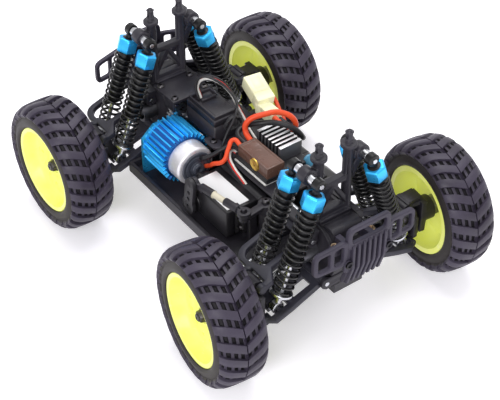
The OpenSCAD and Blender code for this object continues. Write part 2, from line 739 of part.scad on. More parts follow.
// Chassis plate with side lips, servo posts, bellcrank post, relay rail and electronics shelf
module chassis() {
    waist = ax - 39;
    nose = ax + 21;
    wall = 2.5;
    color("dimgray") {
        translate([0, 0, floor_z]) linear_extrude(plate_t)
            polygon([[-nose, -11], [-ax + 19, -11], [-ax + 19, -half_w], [waist - 6, -half_w], [ax - 19, -18],
                [ax - 19, -11], [nose, -11], [nose, 11], [ax - 19, 11], [ax - 19, 18], [waist - 6, half_w],
                [-ax + 19, half_w], [-ax + 19, 11], [-nose, 11]]);
        for (s = [0, 1]) mirror([0, s, 0]) box([-ax + 19, half_w - wall, floor_z], [waist - 6, half_w, deck_z + lip_h]);
        box([-ax + 19, -half_w, floor_z], [-ax + 19 + wall, -11.4, deck_z + lip_h]);
        translate([crank_x, crank_y, deck_z - eps]) cylinder(r = 4.5, h = tie_in_z + 2.2 - deck_z);
        translate([crank_x, crank_y, deck_z]) cylinder(r = shaft_r, h = diff_z + 6 - deck_z);
        box([relay_x - 2.6, -9, tie_in_z - 6], [relay_x + 2.6, 9, tie_in_z - 2 - gap]);
        for (s = [-1, 1]) translate([relay_x, s * 7, deck_z - eps]) cylinder(r = 2, h = tie_in_z - 5 - deck_z);
        for (x = [-44, 38]) translate([x, 7.5, deck_z - eps]) cylinder(r = 2.6, h = shelf_z - deck_z + eps);
        box([-58, -3.5, shelf_z], [44, 33, shelf_z + shelf_t]);
        box([-8, -8, shelf_z], [44, 0, shelf_z + shelf_t]);
        for (x = [horn_x - 10, horn_x + servo_len - 2]) 
            box([x - 2.4, -24, deck_z - eps], [x + 2.4, -18, servo_z + 6]);
    }
}

// Hinge pins, kept in the gear cases, the spacers by the shocks' eyes and the screws that show
module fasteners() {
    spacer = shock_dx - eye_w / 2 - gap;
    color("silver") {
        for (fx = [-1, 1], fy = [-1, 1]) corner(fx, fy) {
            translate([ax, arm_in_y, low_in_z]) rod_x(pin_r, 40.4);
            translate([ax - fx * 11, arm_in_y, up_in_z]) rod_x(pin_r, 33.6);
            translate([ax, shock_top_y, shock_top_z]) {
                rod_x(pin_r, 2 * shock_dx + eye_w + 1.4);
                for (s = [-1, 1]) translate([s * (horn_t + spacer) / 2, 0, 0]) rod_x(3, spacer - horn_t);
            }
            if (fx > 0) translate([boss_x, boss_y, boss_z]) cylinder(r = 2.5, h = 1.6);
            translate([ax + 33, 15, wz + 27]) {
                rod_x(pin_r / 2, 4);
                translate([3.1, 0, 0]) rod_x(2.4, 1.4);
            }
        }
    }
}

// Brushed motor: can, end bell, bearing bosses and the bore that its shaft turns in
module motor() {
    color("silver") translate([motor_x, motor_y, motor_z]) rotate([0, 90, 0]) difference() {
        union() {
            cylinder(r = motor_r, h = motor_len);
            translate([0, 0, motor_len - eps]) cylinder(r = motor_r - 0.8, h = 5.5);
            translate([0, 0, motor_len + 5]) cylinder(r = 4, h = 3);
            translate([0, 0, -1.4]) cylinder(r = 5, h = 1.5);
        }
        translate([0, 0, -2]) cylinder(r = 1.5 + run, h = 8);
    }
}

// Finned sleeve round the can, with the chamfered mounting plate at its rear end
module motor_heat_sink() {
    len = 24;
    low = deck_z - motor_z;
    color("royalblue") translate([motor_x, motor_y, motor_z]) difference() {
        union() {
            translate([-1, 0, 0]) rotate([0, 90, 0]) cylinder(r = motor_r + 1.6, h = len + 1);
            for (i = [0 : fin_count - 1]) rotate([(i + 0.25) * 360 / fin_count, 0, 0])
                box([-1, -0.45, motor_r + 0.7], [len, 0.45, sink_r]);
            translate([-2.6, 0, 0]) rotate([90, 0, 90]) linear_extrude(3)
                polygon([[-sink_r + 0.7, low], [sink_r - 5, low], [sink_r - 5, 6], [6, sink_r - 3], [-8, sink_r - 3],
                    [-sink_r + 0.7, 7]]);
        }
        translate([motor_len / 2, 0, 0]) rod_x(motor_r, motor_len);
        rod_x(5.3, 20);
    }
}

// Steering servo on its side, with mounting ears and output spline
module servo() {
    x0 = horn_x - 7;
    color("black") {
        box([x0, horn_y + 3.7, servo_z - 10], [x0 + servo_len, -5, servo_z + 10]);
        for (x = [x0 - 5, x0 + servo_len]) box([x, -27, servo_z - 8], [x + 5, -24, servo_z + 8]);
        translate([horn_x, 0, horn_z]) rod_y(3, horn_y - 2.4, horn_y + 4);
        translate([horn_x, 0, horn_z]) rod_y(6.5, horn_y + 0.6, horn_y + 4);
    }
}

// Speed controller: case, raised cover, finned heat sink and a round capacitor
module speed_controller() {
    z = shelf_z + shelf_t;
    color("saddlebrown") {
        box([-4, -4.5, z], [30, 30, z + 5]);
        box([-1, -4, z + 5 - eps], [30, 9.5, z + 14]);
        difference() {
            box([-4, 13, z + 5 - eps], [21, 30, z + 14]);
            for (x = [-1.6 : 3.6 : 20]) box([x, 12, z + 7.5], [x + 2, 31, z + 15]);
        }
        translate([33, 30, z + 4]) rod_x(3.6, 12);
        box([26, 27.5, z], [34, 32.5, z + 2]);
    }
}

// Receiver box with a stepped lid and its socket block
module receiver() {
    z = shelf_z + shelf_t;
    color("black") {
        box([-57, -5.5, z], [-24.5, 14, z + 17]);
        box([-55.8, -4.3, z + 17 - eps], [-25.7, 12.8, z + 19.5]);
        box([-57, 14 - eps, z], [-43, 17, z + 9]);
    }
}

// Shrink-wrapped battery pack lying in the left side of the chassis
module battery() {
    color("darkred") box([-battery_len / 2, 12.5, deck_z], [battery_len / 2, half_w - 3, shelf_z - 1.5]);
}

// Round lead through hand-chosen points
function unit(v) = v / norm(v);

module lead(p, r) {
    m = 8;
    n = len(p) - 1;
    pts = [for (i = [0 : n])
        let (t = unit(p[min(i + 1, n)] - p[max(i - 1, 0)]), u = unit(cross([0.31, 0.17, 0.93], t)), v = cross(u, t))
        for (j = [0 : m - 1]) p[i] + r * (u * cos(j * 360 / m) + v * sin(j * 360 / m))];
    polyhedron(pts, skin(n, m), 4);
}

// Leads between the motor, controller, receiver, servo and battery, with the two-part plug
// and a coiled spare length
module wiring() {
    e = shelf_z + shelf_t;
    skim = 0.05;
    esc = -1 - skim;
    bell = motor_x + motor_len + 5.5 + skim;
    pack = half_w - 3 + skim;
    color("orangered") {
        lead([[esc, 6.4, e + 11], [-7, 6.4, e + 15], [-8, 8, e + 21], [-3, 19, e + 26], [1, 29, e + 25],
            [6, 35, e + 20],
            [6, 36, e + 13], [0, 35, e + 9], [-14 + skim, 34.6, e + 9.4]], 1.9);
        lead([[esc, -2.2, e + 12], [-6.5, -3.5, e + 13.5], [-4.5, -9, e + 10], [-2, -14.5, e + 4.5],
            [-8.5, -18, e - 0.5],
            [-14, -17, e - 6], [bell, motor_y + 5.8, motor_z - 1]], 1.5);
        lead([[-38, pack - 2, e + 17], [-44, pack + 3, e + 12], [-40, pack + 9, e + 5],
            [-30, pack + 8, e - 1],
            [-20, pack + 5, e - 6], [-16, pack, e - 9]], 1.5);
    }
    color("black") {
        lead([[esc, 1.9, e + 11], [-10, 2.4, e + 14], [-11, 9, e + 16], [-3.5, 15.5, e + 20],
            [3, 25, e + 19.6],
            [10, 32.5, e + 16], [12, 38, e + 8], [4, 41, e + 4], [-6, 40.4, e + 5],
            [-14 + skim, 38.8, e + 6.6]], 1.9);
        lead([[esc, -1.6, e + 6.9], [-7, -3, e + 8.4], [-9.5, -10, e + 7], [-12.5, -15.5, e + 3],
            [-16, -19.5, e],
            [bell, motor_y + 2.8, motor_z + 7]], 1.5);
        lead([[-40, pack - 4.5, e + 16], [-49, pack - 1, e + 12], [-50, pack + 5, e + 3],
            [-42, pack + 6, e - 5],
            [-34, pack + 4, e - 10], [-30, pack, e - 12]], 1.5);
        lead([[-53, 2, e + 19.5 + skim], [-57, 3, e + 26], [-55, 6, e + 31], [-48, 12, e + 31],
            [-41, 17.5, e + 24],
            [-36, 21, e + 12], [-28, 22, e + 4], [-14, 18, e + 3], [-4 - skim, 16, e + 3]], 0.9);
        lead([[-50, 0, e + 19.5 + skim], [-54, 0.5, e + 27], [-52, 4, e + 33], [-45, 10, e + 32],
            [-37, 15, e + 26],
            [-28, 14.5, e + 22], [-22, 10, e + 21], [-18, 4, e + 17], [-15, -3, e + 12],
            [-13.2, -8, e + 4], [-12, -9.5, e - 4],
            [-10 - skim, -10, e - 11]], 0.9);
        translate([-17.5, 9.4, e + 6.4]) rotate([0, 90, 0]) rotate_extrude() translate([4.4, 0]) circle(r = 1.6);
    }
    color("white") lead([[-4 - skim, -2.4, e + 2.4], [-7, -4.5, e + 3.6], [-3.5, -9.2, e + 3.4],
            [3, -11, e + 0.6],
        [10, -10.6, e - 3], [14, -10, servo_z + 10 + skim]], 0.8);
    color("ivory") {
        translate([-23, 36.5, e + 8]) cube([18, 9, 8], center = true);
        translate([-34, 37.5, e + 11]) rotate([0, 18, 8]) cube([14, 11, 9], center = true);
    }
}

tyre(1, -1);  // tyre_fr
tyre(1, 1);  // tyre_fl
tyre(-1, -1);  // tyre_rr
tyre(-1, 1);  // tyre_rl
rim(1, -1);  // rim_fr
rim(1, 1);  // rim_fl
rim(-1, -1);  // rim_rr
rim(-1, 1);  // rim_rl
lower_arm(1, -1);  // lower_arm_fr
lower_arm(1, 1);  // lower_arm_fl
lower_arm(-1, -1);  // lower_arm_rr
lower_arm(-1, 1);  // lower_arm_rl
upper_arm(1, -1);  // upper_arm_fr
upper_arm(1, 1);  // upper_arm_fl
upper_arm(-1, -1);  // upper_arm_rr
upper_arm(-1, 1);  // upper_arm_rl
carrier(1, -1);  // carrier_fr
carrier(1, 1);  // carrier_fl
carrier(-1, -1);  // carrier_rr
carrier(-1, 1);  // carrier_rl
dogbone(1, -1);  // dogbone_fr
dogbone(1, 1);  // dogbone_fl
dogbone(-1, -1);  // dogbone_rr
dogbone(-1, 1);  // dogbone_rl
shock_bodies(1, -1);  // shock_bodies_fr
shock_bodies(1, 1);  // shock_bodies_fl
shock_bodies(-1, -1);  // shock_bodies_rr
shock_bodies(-1, 1);  // shock_bodies_rl
shock_rods(1, -1);  // shock_rods_fr
shock_rods(1, 1);  // shock_rods_fl
shock_rods(-1, -1);  // shock_rods_rr
shock_rods(-1, 1);  // shock_rods_rl
springs(1, -1);  // springs_fr
springs(1, 1);  // springs_fl
springs(-1, -1);  // springs_rr
springs(-1, 1);  // springs_rl
knuckle(-1);  // knuckle_fr
knuckle(1);  // knuckle_fl
servo_horn();
drag_link();
bellcrank();
relay_plate();
tie_rod(-1);  // tie_rod_fr
tie_rod(1);  // tie_rod_fl
centre_shaft();
front_diff();
rear_diff();
motor_pinion();
chassis();
gearbox_housings();
shock_towers();
bumpers();
motor();
motor_heat_sink();
servo();
speed_controller();
receiver();
battery();
wiring();
fasteners();
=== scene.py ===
import json
import math

import bmesh
import bpy
from mathutils import Matrix, Vector


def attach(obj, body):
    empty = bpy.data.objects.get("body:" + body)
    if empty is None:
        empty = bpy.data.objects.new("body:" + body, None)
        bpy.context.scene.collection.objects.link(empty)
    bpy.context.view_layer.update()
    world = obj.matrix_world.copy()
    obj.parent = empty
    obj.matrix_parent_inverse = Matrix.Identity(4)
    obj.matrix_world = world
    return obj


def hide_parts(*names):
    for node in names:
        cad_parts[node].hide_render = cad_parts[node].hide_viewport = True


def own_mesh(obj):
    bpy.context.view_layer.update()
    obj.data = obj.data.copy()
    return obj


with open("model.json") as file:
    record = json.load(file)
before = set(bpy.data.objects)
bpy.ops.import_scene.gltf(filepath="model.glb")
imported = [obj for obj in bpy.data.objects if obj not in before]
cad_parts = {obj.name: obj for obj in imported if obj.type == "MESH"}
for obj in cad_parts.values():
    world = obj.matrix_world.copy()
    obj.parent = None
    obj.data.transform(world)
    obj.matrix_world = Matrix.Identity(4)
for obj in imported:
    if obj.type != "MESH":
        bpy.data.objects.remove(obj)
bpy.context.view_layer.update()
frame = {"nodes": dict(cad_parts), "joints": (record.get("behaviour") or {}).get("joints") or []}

# The camera stands where the photographer stood: high over the front right corner, with a long lens,
# so that the car fills the frame and its sides hardly converge.
MM = 0.001
azimuth, elevation = math.radians(53.77), math.radians(40.58)
aim = Vector((0.54, 4.26, 26.08)) * MM
stand_off = 864.26 * MM
back = Vector((
    math.sin(azimuth) * math.cos(elevation), -math.cos(azimuth) * math.cos(elevation), math.sin(elevation)
))
bpy.ops.object.camera_add(location=aim + back * stand_off, rotation=back.to_track_quat("Z", "Y").to_euler())
camera = bpy.context.object
camera.data.sensor_width = 36
camera.data.lens = 94.5
camera.data.clip_end = 20
bpy.context.scene.camera = camera
bpy.context.scene.view_settings.view_transform = "Standard"


# The studio: a white paper sheet on the floor that fades into a white room, a wide soft box overhead and a
# smaller one behind the camera's left shoulder. The paper shows white to the camera and keeps the car's shadow.
def wire_up(tree, *wires):
    """Joins outputs to inputs; a wire names a node and its output, then the node and the input that it feeds."""
    for source, output, target, socket in wires:
        tree.links.new(source.outputs[output], target.inputs[socket])


def set_inputs(target, **values):
    """Sets the inputs of a shader node that are named here, with _ for a space."""
    for socket, value in values.items():
        target.inputs[socket.replace("_", " ")].default_value = value


def node(tree, kind, operation=None, **values):
    """Adds a shader node with its operation and the values of its inputs."""
    added = tree.nodes.new(f"ShaderNode{kind}")
    if operation:
        added.operation = operation
    set_inputs(added, **values)
    return added


def seen_straight(tree):
    """Returns the node and output that give 1 to what the camera sees directly, in a reflection or through glass."""
    path = node(tree, "LightPath")
    seen = path, "Is Camera Ray"
    for also in ("Is Glossy Ray", "Is Transmission Ray"):
        either = node(tree, "Math", "MAXIMUM")
        wire_up(tree, (*seen, either, 0), (path, also, either, 1))
        seen = either, 0
    return seen


bpy.ops.mesh.primitive_circle_add(vertices=64, radius=4, fill_type="NGON", location=(0, 0, 0))
floor = bpy.context.object
floor.name = "paper_floor"
paper = bpy.data.materials.new("white paper")
paper.use_nodes = True
tree = paper.node_tree
shader = tree.nodes["Principled BSDF"]
set_inputs(shader, Base_Color=(0.9, 0.875, 0.94, 1), Roughness=0.9, Specular_IOR_Level=0.1, Emission_Strength=1)
place, tint = node(tree, "TexCoord"), node(tree, "CombineColor")
reach = node(tree, "VectorMath", "LENGTH")
fade = node(tree, "MapRange", From_Min=0.1, From_Max=0.36, To_Min=0.36, To_Max=1.0)
fade.interpolation_type = "SMOOTHSTEP"
lampless_glow = node(tree, "Math", "MULTIPLY")
wire_up(
    tree, (place, "Object", reach, 0), (reach, "Value", fade, "Value"), (fade, "Result", lampless_glow, 0),
    (*seen_straight(tree), lampless_glow, 1), *[(lampless_glow, 0, tint, channel) for channel in range(3)],
    (tint, 0, shader, "Emission Color"),
)
floor.data.materials.append(paper)

world = bpy.data.worlds.new("white room")
bpy.context.scene.world = world
world.use_nodes = True
tree = world.node_tree
sky = tree.nodes["Background"]
set_inputs(sky, Color=(1, 1, 1, 1))
room = node(tree, "MapRange", To_Min=0.5, To_Max=1.0)
wire_up(tree, (*seen_straight(tree), room, "Value"), (room, "Result", sky, "Strength"))

for name, at, size, watts in (
    ("soft_box_overhead", (-0.25, 0.35, 1.5), 1.1, 14.0),
    ("soft_box_front", (0.9, -1.1, 1.0), 0.8, 14.0),
):
    at = Vector(at)
    bpy.ops.object.light_add(type="AREA", location=at, rotation=at.to_track_quat("Z", "Y").to_euler())
    lamp = bpy.context.object
    lamp.name = name
    lamp.data.size = size
    lamp.data.energy = watts


# Chassis tray: one injection-moulded plate of black nylon with raised side lips, the posts that carry the
# steering crank and the servo, and the shelf that the electronics are taped to. It ends behind the bumpers.
def linear(colour):
    """Turns a colour picked on a screen, 0 to 255, into the shader's linear values."""
    shares = [c / 255 for c in colour]
    return (*[c / 12.92 if c <= 0.04045 else ((c + 0.055) / 1.055) ** 2.4 for c in shares], 1)


def only(piece):
    """Selects one piece alone and makes it the active one."""
    bpy.ops.object.select_all(action="DESELECT")
    piece.select_set(True)
    bpy.context.view_layer.objects.active = piece


def ease(piece, width, steps=2, angle=32):
    """Rounds the piece's sharp edges, by a width in millimetres, and shades the rest smooth."""
    only(piece)
    if width:
        bevel = piece.modifiers.new("rounded edges", "BEVEL")
        bevel.width = width * MM
        bevel.segments = steps
        bevel.limit_method = "ANGLE"
        bevel.angle_limit = math.radians(angle)
        bevel.use_clamp_overlap = False
        bpy.ops.object.modifier_apply(modifier=bevel.name)
    bpy.ops.object.shade_smooth_by_angle(angle=math.radians(angle + 6))


def pick_all():
    """Selects everything, in edit mode."""
    bpy.ops.mesh.select_all(action="SELECT")


def done():
    """Leaves edit mode."""
    bpy.ops.object.mode_set(mode="OBJECT")


def copy_of(solid, name, edge, steps=2):
    """Copies a CAD node, merges its loose triangles into clean faces and rounds their edges."""
    only(frame["nodes"][solid])
    bpy.ops.object.duplicate()
    piece = bpy.context.object
    piece.parent = None
    for key in list(piece.keys()):
        del piece[key]
    piece.name = name
    piece.data.materials.clear()
    bpy.ops.object.mode_set(mode="EDIT")
    pick_all()
    bpy.ops.mesh.remove_doubles(threshold=2e-6)
    bpy.ops.mesh.dissolve_limited(angle_limit=math.radians(1.5))
    done()
    ease(piece, edge, steps)
    return piece


def surface_group(name, *inputs):
    """Begins a node group for a surface; returns it with its two ends and the node that tells the place."""
    group = bpy.data.node_groups.new(name, "ShaderNodeTree")
    outputs = (("Colour", "Color"), ("Roughness", "Float"), ("Height", "Float"))
    for way, sockets in (("INPUT", inputs), ("OUTPUT", outputs)):
        for socket, kind in sockets:
            group.interface.new_socket(socket, in_out=way, socket_type=f"NodeSocket{kind}")
    return group, group.nodes.new("NodeGroupInput"), group.nodes.new("NodeGroupOutput"), node(group, "TexCoord")


def moulded_skin():
    """The surface of moulded plastic: fine grain, cloudy colour and a few pale scuffs."""
    group, given, made, place = surface_group(
        "moulded skin", ("Colour", "Color"), ("Scuffed", "Color"), ("Grain", "Float"), ("Gloss", "Float"),
        ("Wear", "Float"),
    )
    grain = node(group, "TexNoise", Detail=3)
    cloud = node(group, "TexNoise", Scale=55, Detail=4)
    scuff = node(group, "TexNoise", Scale=190, Detail=6, Distortion=1.5)
    rare = node(group, "MapRange", From_Min=0.6, From_Max=0.74)
    shade = node(group, "MapRange", From_Min=0.3, From_Max=0.7, To_Max=0.35)
    worn, both = node(group, "Math", "MULTIPLY"), node(group, "Math", "MAXIMUM")
    mix = node(group, "Mix")
    mix.data_type = "RGBA"
    dull = node(group, "Math", "MULTIPLY_ADD")
    dull.inputs[1].default_value = 0.22
    wire_up(
        group, *[(place, "Object", texture, "Vector") for texture in (grain, cloud, scuff)],
        (given, "Grain", grain, "Scale"), (scuff, "Fac", rare, "Value"), (rare, "Result", worn, 0),
        (given, "Wear", worn, 1), (cloud, "Fac", shade, "Value"), (shade, "Result", both, 0), (worn, 0, both, 1),
        (both, 0, mix, "Factor"), (given, "Colour", mix, "A"), (given, "Scuffed", mix, "B"),
        (mix, "Result", made, "Colour"), (both, 0, dull, 0), (given, "Gloss", dull, 2),
        (dull, 0, made, "Roughness"), (grain, "Fac", made, "Height"),
    )
    return group


skin = moulded_skin()


def coated(name, surface_kind, depth, grain_height, **values):
    """A material on a shared surface with its values there; returns it with its shader and its surface node."""
    material = bpy.data.materials.new(name)
    material.use_nodes = True
    tree = material.node_tree
    shader = tree.nodes["Principled BSDF"]
    surface = node(tree, "Group")
    surface.node_tree = surface_kind
    set_inputs(surface, **values)
    bump = node(tree, "Bump", Strength=depth, Distance=grain_height)
    wire_up(
        tree, (surface, "Colour", shader, "Base Color"), (surface, "Roughness", shader, "Roughness"),
        (surface, "Height", bump, "Height"), (bump, "Normal", shader, "Normal"),
    )
    return material, shader, surface


def plastic(name, colour, scuffed, grain=900, gloss=0.42, wear=0.6, depth=0.25, coat=0.0, shine=0.3, lampless_glow=0.0):
    """A moulded or painted surface on the shared skin; glow makes it emit its own colour as painted light."""
    material, shader, surface = coated(
        name, skin, depth, 0.2 * MM, Colour=linear(colour), Scuffed=linear(scuffed), Grain=grain, Gloss=gloss,
        Wear=wear)
    set_inputs(shader, Specular_IOR_Level=shine, Coat_Weight=coat, Coat_Roughness=0.15, Emission_Strength=lampless_glow)
    if lampless_glow:
        wire_up(material.node_tree, (surface, "Colour", shader, "Emission Color"))
    return material


def fit(piece, body, material, slot, *nodes):
    """Puts the material on, lets the piece ride on its body and hides the CAD nodes that it stands for."""
    piece.data.materials.clear()
    piece.data.materials.append(material)
    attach(piece, body)
    if nodes:
        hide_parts(*nodes)
    return piece


black_nylon = plastic("black nylon", (33, 31, 37), (68, 65, 74), grain=1400, gloss=0.4)
tray = copy_of("chassis", "chassis_tray", 0)
tray_end = 99 * MM
for end in (-1, 1):
    bpy.ops.object.mode_set(mode="EDIT")
    pick_all()
    bpy.ops.mesh.bisect(plane_co=(end * tray_end, 0, 0), plane_no=(end, 0, 0), use_fill=True, clear_outer=True)
    done()
ease(tray, 0.45)
fit(tray, "body", black_nylon, "chassis_plastic", "chassis")

# Gear cases: two black nylon shells round the differentials, with lugs for the hinge pins and the arched
# cover over the spur gear.
fit(copy_of("gearbox_housings", "gear_cases", 0.4), "body", black_nylon, "black_plastic", "gearbox_housings")

# Shock towers: black nylon trusses screwed on the gear cases, each with two horns for the shocks and two
# pegs for the missing body shell.
gloss_nylon = plastic("glossy black nylon", (40, 38, 45), (74, 71, 82), grain=1600, gloss=0.36)
fit(copy_of("shock_towers", "towers", 0.5), "body", gloss_nylon, "black_plastic", "shock_towers")


# Bumpers: tough blue-grey plastic, each one moulding: a plate with upright ribs that bend under it as a skid, a
# loop on top, a two-window loop at each side and two brackets to the gear case. The front one has screw bosses.
def edit(piece, wanted=None):
    """Opens a piece in edit mode with the faces that the test picks selected, or all of them."""
    only(piece)
    bpy.ops.object.mode_set(mode="EDIT")
    bpy.ops.mesh.select_mode(type="FACE")
    pick(piece, wanted or (lambda face: True))


def pick(piece, wanted):
    """Selects the faces that a test picks, in edit mode."""
    mesh = bmesh.from_edit_mesh(piece.data)
    bpy.ops.mesh.select_all(action="DESELECT")
    for face in mesh.faces:
        face.select_set(wanted(face))
    bmesh.update_edit_mesh(piece.data)


def spot(x, y, z):
    """A place on the car, in millimetres, as a matrix."""
    return Matrix.Translation(Vector((x, y, z)) * MM)


def settle(piece, place):
    """Sets a piece in its place and settles the place into its mesh."""
    piece.matrix_world = place
    only(piece)
    bpy.ops.object.transform_apply()
    return piece


def copy_to(model, name, place):
    """Copies a model piece and settles the copy in its place."""
    only(model)
    bpy.ops.object.duplicate()
    piece = bpy.context.object
    piece.name = name
    return settle(piece, place)


def joined(name, *parts):
    """Joins parts into one piece."""
    only(parts[0])
    for part in parts:
        part.select_set(True)
    bpy.ops.object.join()
    parts[0].name = name
    return parts[0]


def outline_of(corners, radius, steps=5):
    """Rounds the corners of a flat outline, in millimetres."""
    points = []
    for i, corner in enumerate(corners):
        here = Vector(corner)
        before, after = Vector(corners[i - 1]) - here, Vector(corners[(i + 1) % len(corners)]) - here
        start = here + before.normalized() * min(radius, before.length / 2.2)
        stop = here + after.normalized() * min(radius, after.length / 2.2)
        for k in range(steps + 1):
            t = k / steps
            points.append(start * (1 - t) ** 2 + here * 2 * t * (1 - t) + stop * t * t)
    return points


def slab(place, thickness, edge, outline, *windows):
    """A flat plate with windows, raised along the local Z axis, rounded at its edges and set in its place."""
    rings = []
    for ring in (outline, *windows):
        bpy.ops.mesh.primitive_circle_add(vertices=len(ring), radius=MM, location=(0, 0, 0))
        rings.append(bpy.context.object)
        for corner, point in zip(bpy.context.object.data.vertices, ring):
            corner.co = (point[0] * MM, point[1] * MM, 0)
    piece = joined("slab", *rings) if windows else rings[0]
    only(piece)
    bpy.ops.object.mode_set(mode="EDIT")
    bpy.ops.mesh.select_mode(type="EDGE")
    pick_all()
    bpy.ops.mesh.fill()
    pick_all()
    bpy.ops.mesh.extrude_region_move(TRANSFORM_OT_translate={"value": (0, 0, thickness * MM)})
    pick_all()
    bpy.ops.mesh.normals_make_consistent(inside=False)
    done()
    ease(piece, edge, 3)
    return settle(piece, place)


def oblong(low, high):
    """The corners of an upright oblong."""
    return [(low[0], low[1]), (high[0], low[1]), (high[0], high[1]), (low[0], high[1])]


def circle(radius, sides):
    """The corners of a round outline."""
    turns = [2 * math.pi * k / sides for k in range(sides)]
    return [(radius * math.sin(turn), radius * math.cos(turn)) for turn in turns]


# A facing slab rises forwards, a lying one towards the car's right.
facing = Matrix(((0, 0, 1, 0), (1, 0, 0, 0), (0, 1, 0, 0), (0, 0, 0, 1)))
lying = Matrix.Rotation(math.radians(90), 4, "X")
plate_at = spot(119, 0, 0) @ facing
bumper = [
    slab(plate_at, 2.2, 0.5, outline_of(oblong((-16.8, 63.5), (16.8, 85)), 2.5)),
    slab(plate_at, 3.2, 0.8, outline_of(oblong((-16, 81), (16, 96.4)), 4.5),
         outline_of(oblong((-12.6, 85.2), (12.6, 93.2)), 2.2)),
    slab(spot(0, 13.4, 0) @ lying, 26.8, 0.5, [
        (119.0, 68), (120.9, 68), (120.9, 65.6), (117.0, 52.0), (115.2, 50.4), (113.2, 51.4), (117.4, 64)]),
]
rib = outline_of([
    (120.4, 84.4), (122.6, 84.2), (123.3, 82.5), (123.3, 66.2), (118.9, 51.6), (116.6, 51.4), (120.2, 66),
], 0.8, 3)
rib_width, rib_pitch = 1.9, 3.95
for i in range(-3, 4):
    bumper.append(slab(spot(0, i * rib_pitch + rib_width / 2, 0) @ lying, rib_width, 0.3, rib))
sweep_back, sweep_from = 0.12, 14 * MM
loop_edge = [(14.6, 89.3), (37.9, 85.4), (37.9, 69.3), (16.3, 70.3)]
windows = [
    [(y, 86.4 - (y - 16) * 0.186) for y in (inner, outer)] + [(y, 73.2 - (y - 17.7) * 0.053) for y in (outer, inner)]
    for inner, outer in ((18.2, 24.3), (27.0, 34.9))
]
for side in (-1, 1):
    loop = slab(plate_at, 3.2, 0.75, outline_of([(y * side, z) for y, z in loop_edge], 4.5), *[
        outline_of([(y * side, z) for y, z in window], 1.8) for window in windows])
    for corner in loop.data.vertices:
        corner.co.x -= sweep_back * max(0, abs(corner.co.y) - sweep_from)
    bracket = slab(spot(0, 9 * side + 2, 0) @ lying, 4, 0.5, outline_of(oblong((104.2, 70), (120, 78)), 1.0))
    screw_pad = slab(spot(120.9, 15 * side, 71) @ facing, 1.5, 0.3, circle(2.9, 24))
    bumper += [loop, bracket, screw_pad]
front_bumper = joined("front_bumper", *bumper)
rear_bumper = copy_to(front_bumper, "rear_bumper", Matrix.Diagonal((-1, 1, 1, 1)))
edit(rear_bumper)
bpy.ops.mesh.normals_make_consistent(inside=False)
done()
boss_x = 108
bosses = [slab(spot(boss_x, 13.6 * side, 69), 4, 0.4, circle(3.6, 32)) for side in (-1, 1)]
joined("front_bumper", front_bumper, *bosses)
bumper_plastic = plastic("bumper plastic", (49, 45, 58), (86, 81, 97), grain=1100, gloss=0.5, wear=0.4)
fit(front_bumper, "body", bumper_plastic, "bumper_plastic", "bumpers")
fit(rear_bumper, "body", bumper_plastic, "bumper_plastic", "bumpers")

# Suspension arms: dark moulded nylon, each with its hinge tube and a clevis at the outer end. The lower ones are
# flat and carry the shocks, the upper ones are bowed. All swing on steel pins in the gear cases' lugs.
arm_nylon = plastic("arm nylon", (40, 39, 49), (76, 75, 88), grain=1200, gloss=0.42)
corners = ("fr", "fl", "rr", "rl")
for c in corners:
    fit(copy_of(f"lower_arm_{c}", f"lower_wishbone_{c}", 0.5), f"lower_link_{c}", arm_nylon,
        "black_plastic", f"lower_arm_{c}")
    fit(copy_of(f"upper_arm_{c}", f"upper_wishbone_{c}", 0.9, 3), f"upper_link_{c}", arm_nylon,
        "black_plastic", f"upper_arm_{c}")

# Wheel carriers and front knuckles: black nylon blocks that hold the stub axles. The carriers are pinned between
# the arms' clevises, and the front ones hold the knuckles on upright king pins.
for c in corners:
    fit(copy_of(f"carrier_{c}", f"hub_block_{c}", 0.35), f"hub_{c}", black_nylon, "black_plastic", f"carrier_{c}")
for c in ("fr", "fl"):
    fit(copy_of(f"knuckle_{c}", f"steering_block_{c}", 0.35), f"knuckle_body_{c}", black_nylon,
        "black_plastic", f"knuckle_{c}")


# Drive line: turned steel dogbones, sintered differentials, the long centre shaft with its gears, a brass pinion
# on the motor, and tie rods of drawn steel wire. All are as they left the machine, lightly oiled.
def metal_skin():
    """The surface of worked metal: fine tool lines and soft stains."""
    group, given, made, place = surface_group(
        "worked metal", ("Colour", "Color"), ("Stain", "Color"), ("Lines", "Vector"), ("Gloss", "Float"))
    stretch = node(group, "VectorMath", "MULTIPLY")
    lines = node(group, "TexNoise", Scale=1, Detail=4)
    stains = node(group, "TexNoise", Scale=120, Detail=5)
    patch = node(group, "MapRange", From_Min=0.45, From_Max=0.75, To_Max=0.6)
    mix = node(group, "Mix")
    mix.data_type = "RGBA"
    rough = node(group, "Math", "MULTIPLY_ADD")
    rough.inputs[1].default_value = 0.16
    wire_up(
        group, (place, "Object", stretch, 0), (given, "Lines", stretch, 1), (stretch, "Vector", lines, "Vector"),
        (place, "Object", stains, "Vector"), (stains, "Fac", patch, "Value"), (patch, "Result", mix, "Factor"),
        (given, "Colour", mix, "A"), (given, "Stain", mix, "B"), (mix, "Result", made, "Colour"),
        (lines, "Fac", rough, 0), (given, "Gloss", rough, 2), (rough, 0, made, "Roughness"),
        (lines, "Fac", made, "Height"),
    )
    return group


worked = metal_skin()


def metal(name, colour, stain, gloss=0.22, lines=(300, 300, 300), depth=0.12, bare=1.0):
    """A metal with tool lines, dense as lines says along each axis; bare is below 1 under a film of dye or oxide."""
    material, shader, _ = coated(
        name, worked, depth, 0.1 * MM, Colour=linear(colour), Stain=linear(stain), Lines=lines, Gloss=gloss)
    set_inputs(shader, Metallic=bare)
    return material


steel = metal("drawn steel", (196, 197, 202), (150, 148, 150), 0.2, (2400, 300, 300))
cast_grey = metal("sintered steel", (120, 120, 126), (84, 82, 84), 0.36, (900, 900, 900))
brass = metal("pinion brass", (214, 178, 96), (150, 110, 50), 0.2, (300, 2400, 2400))


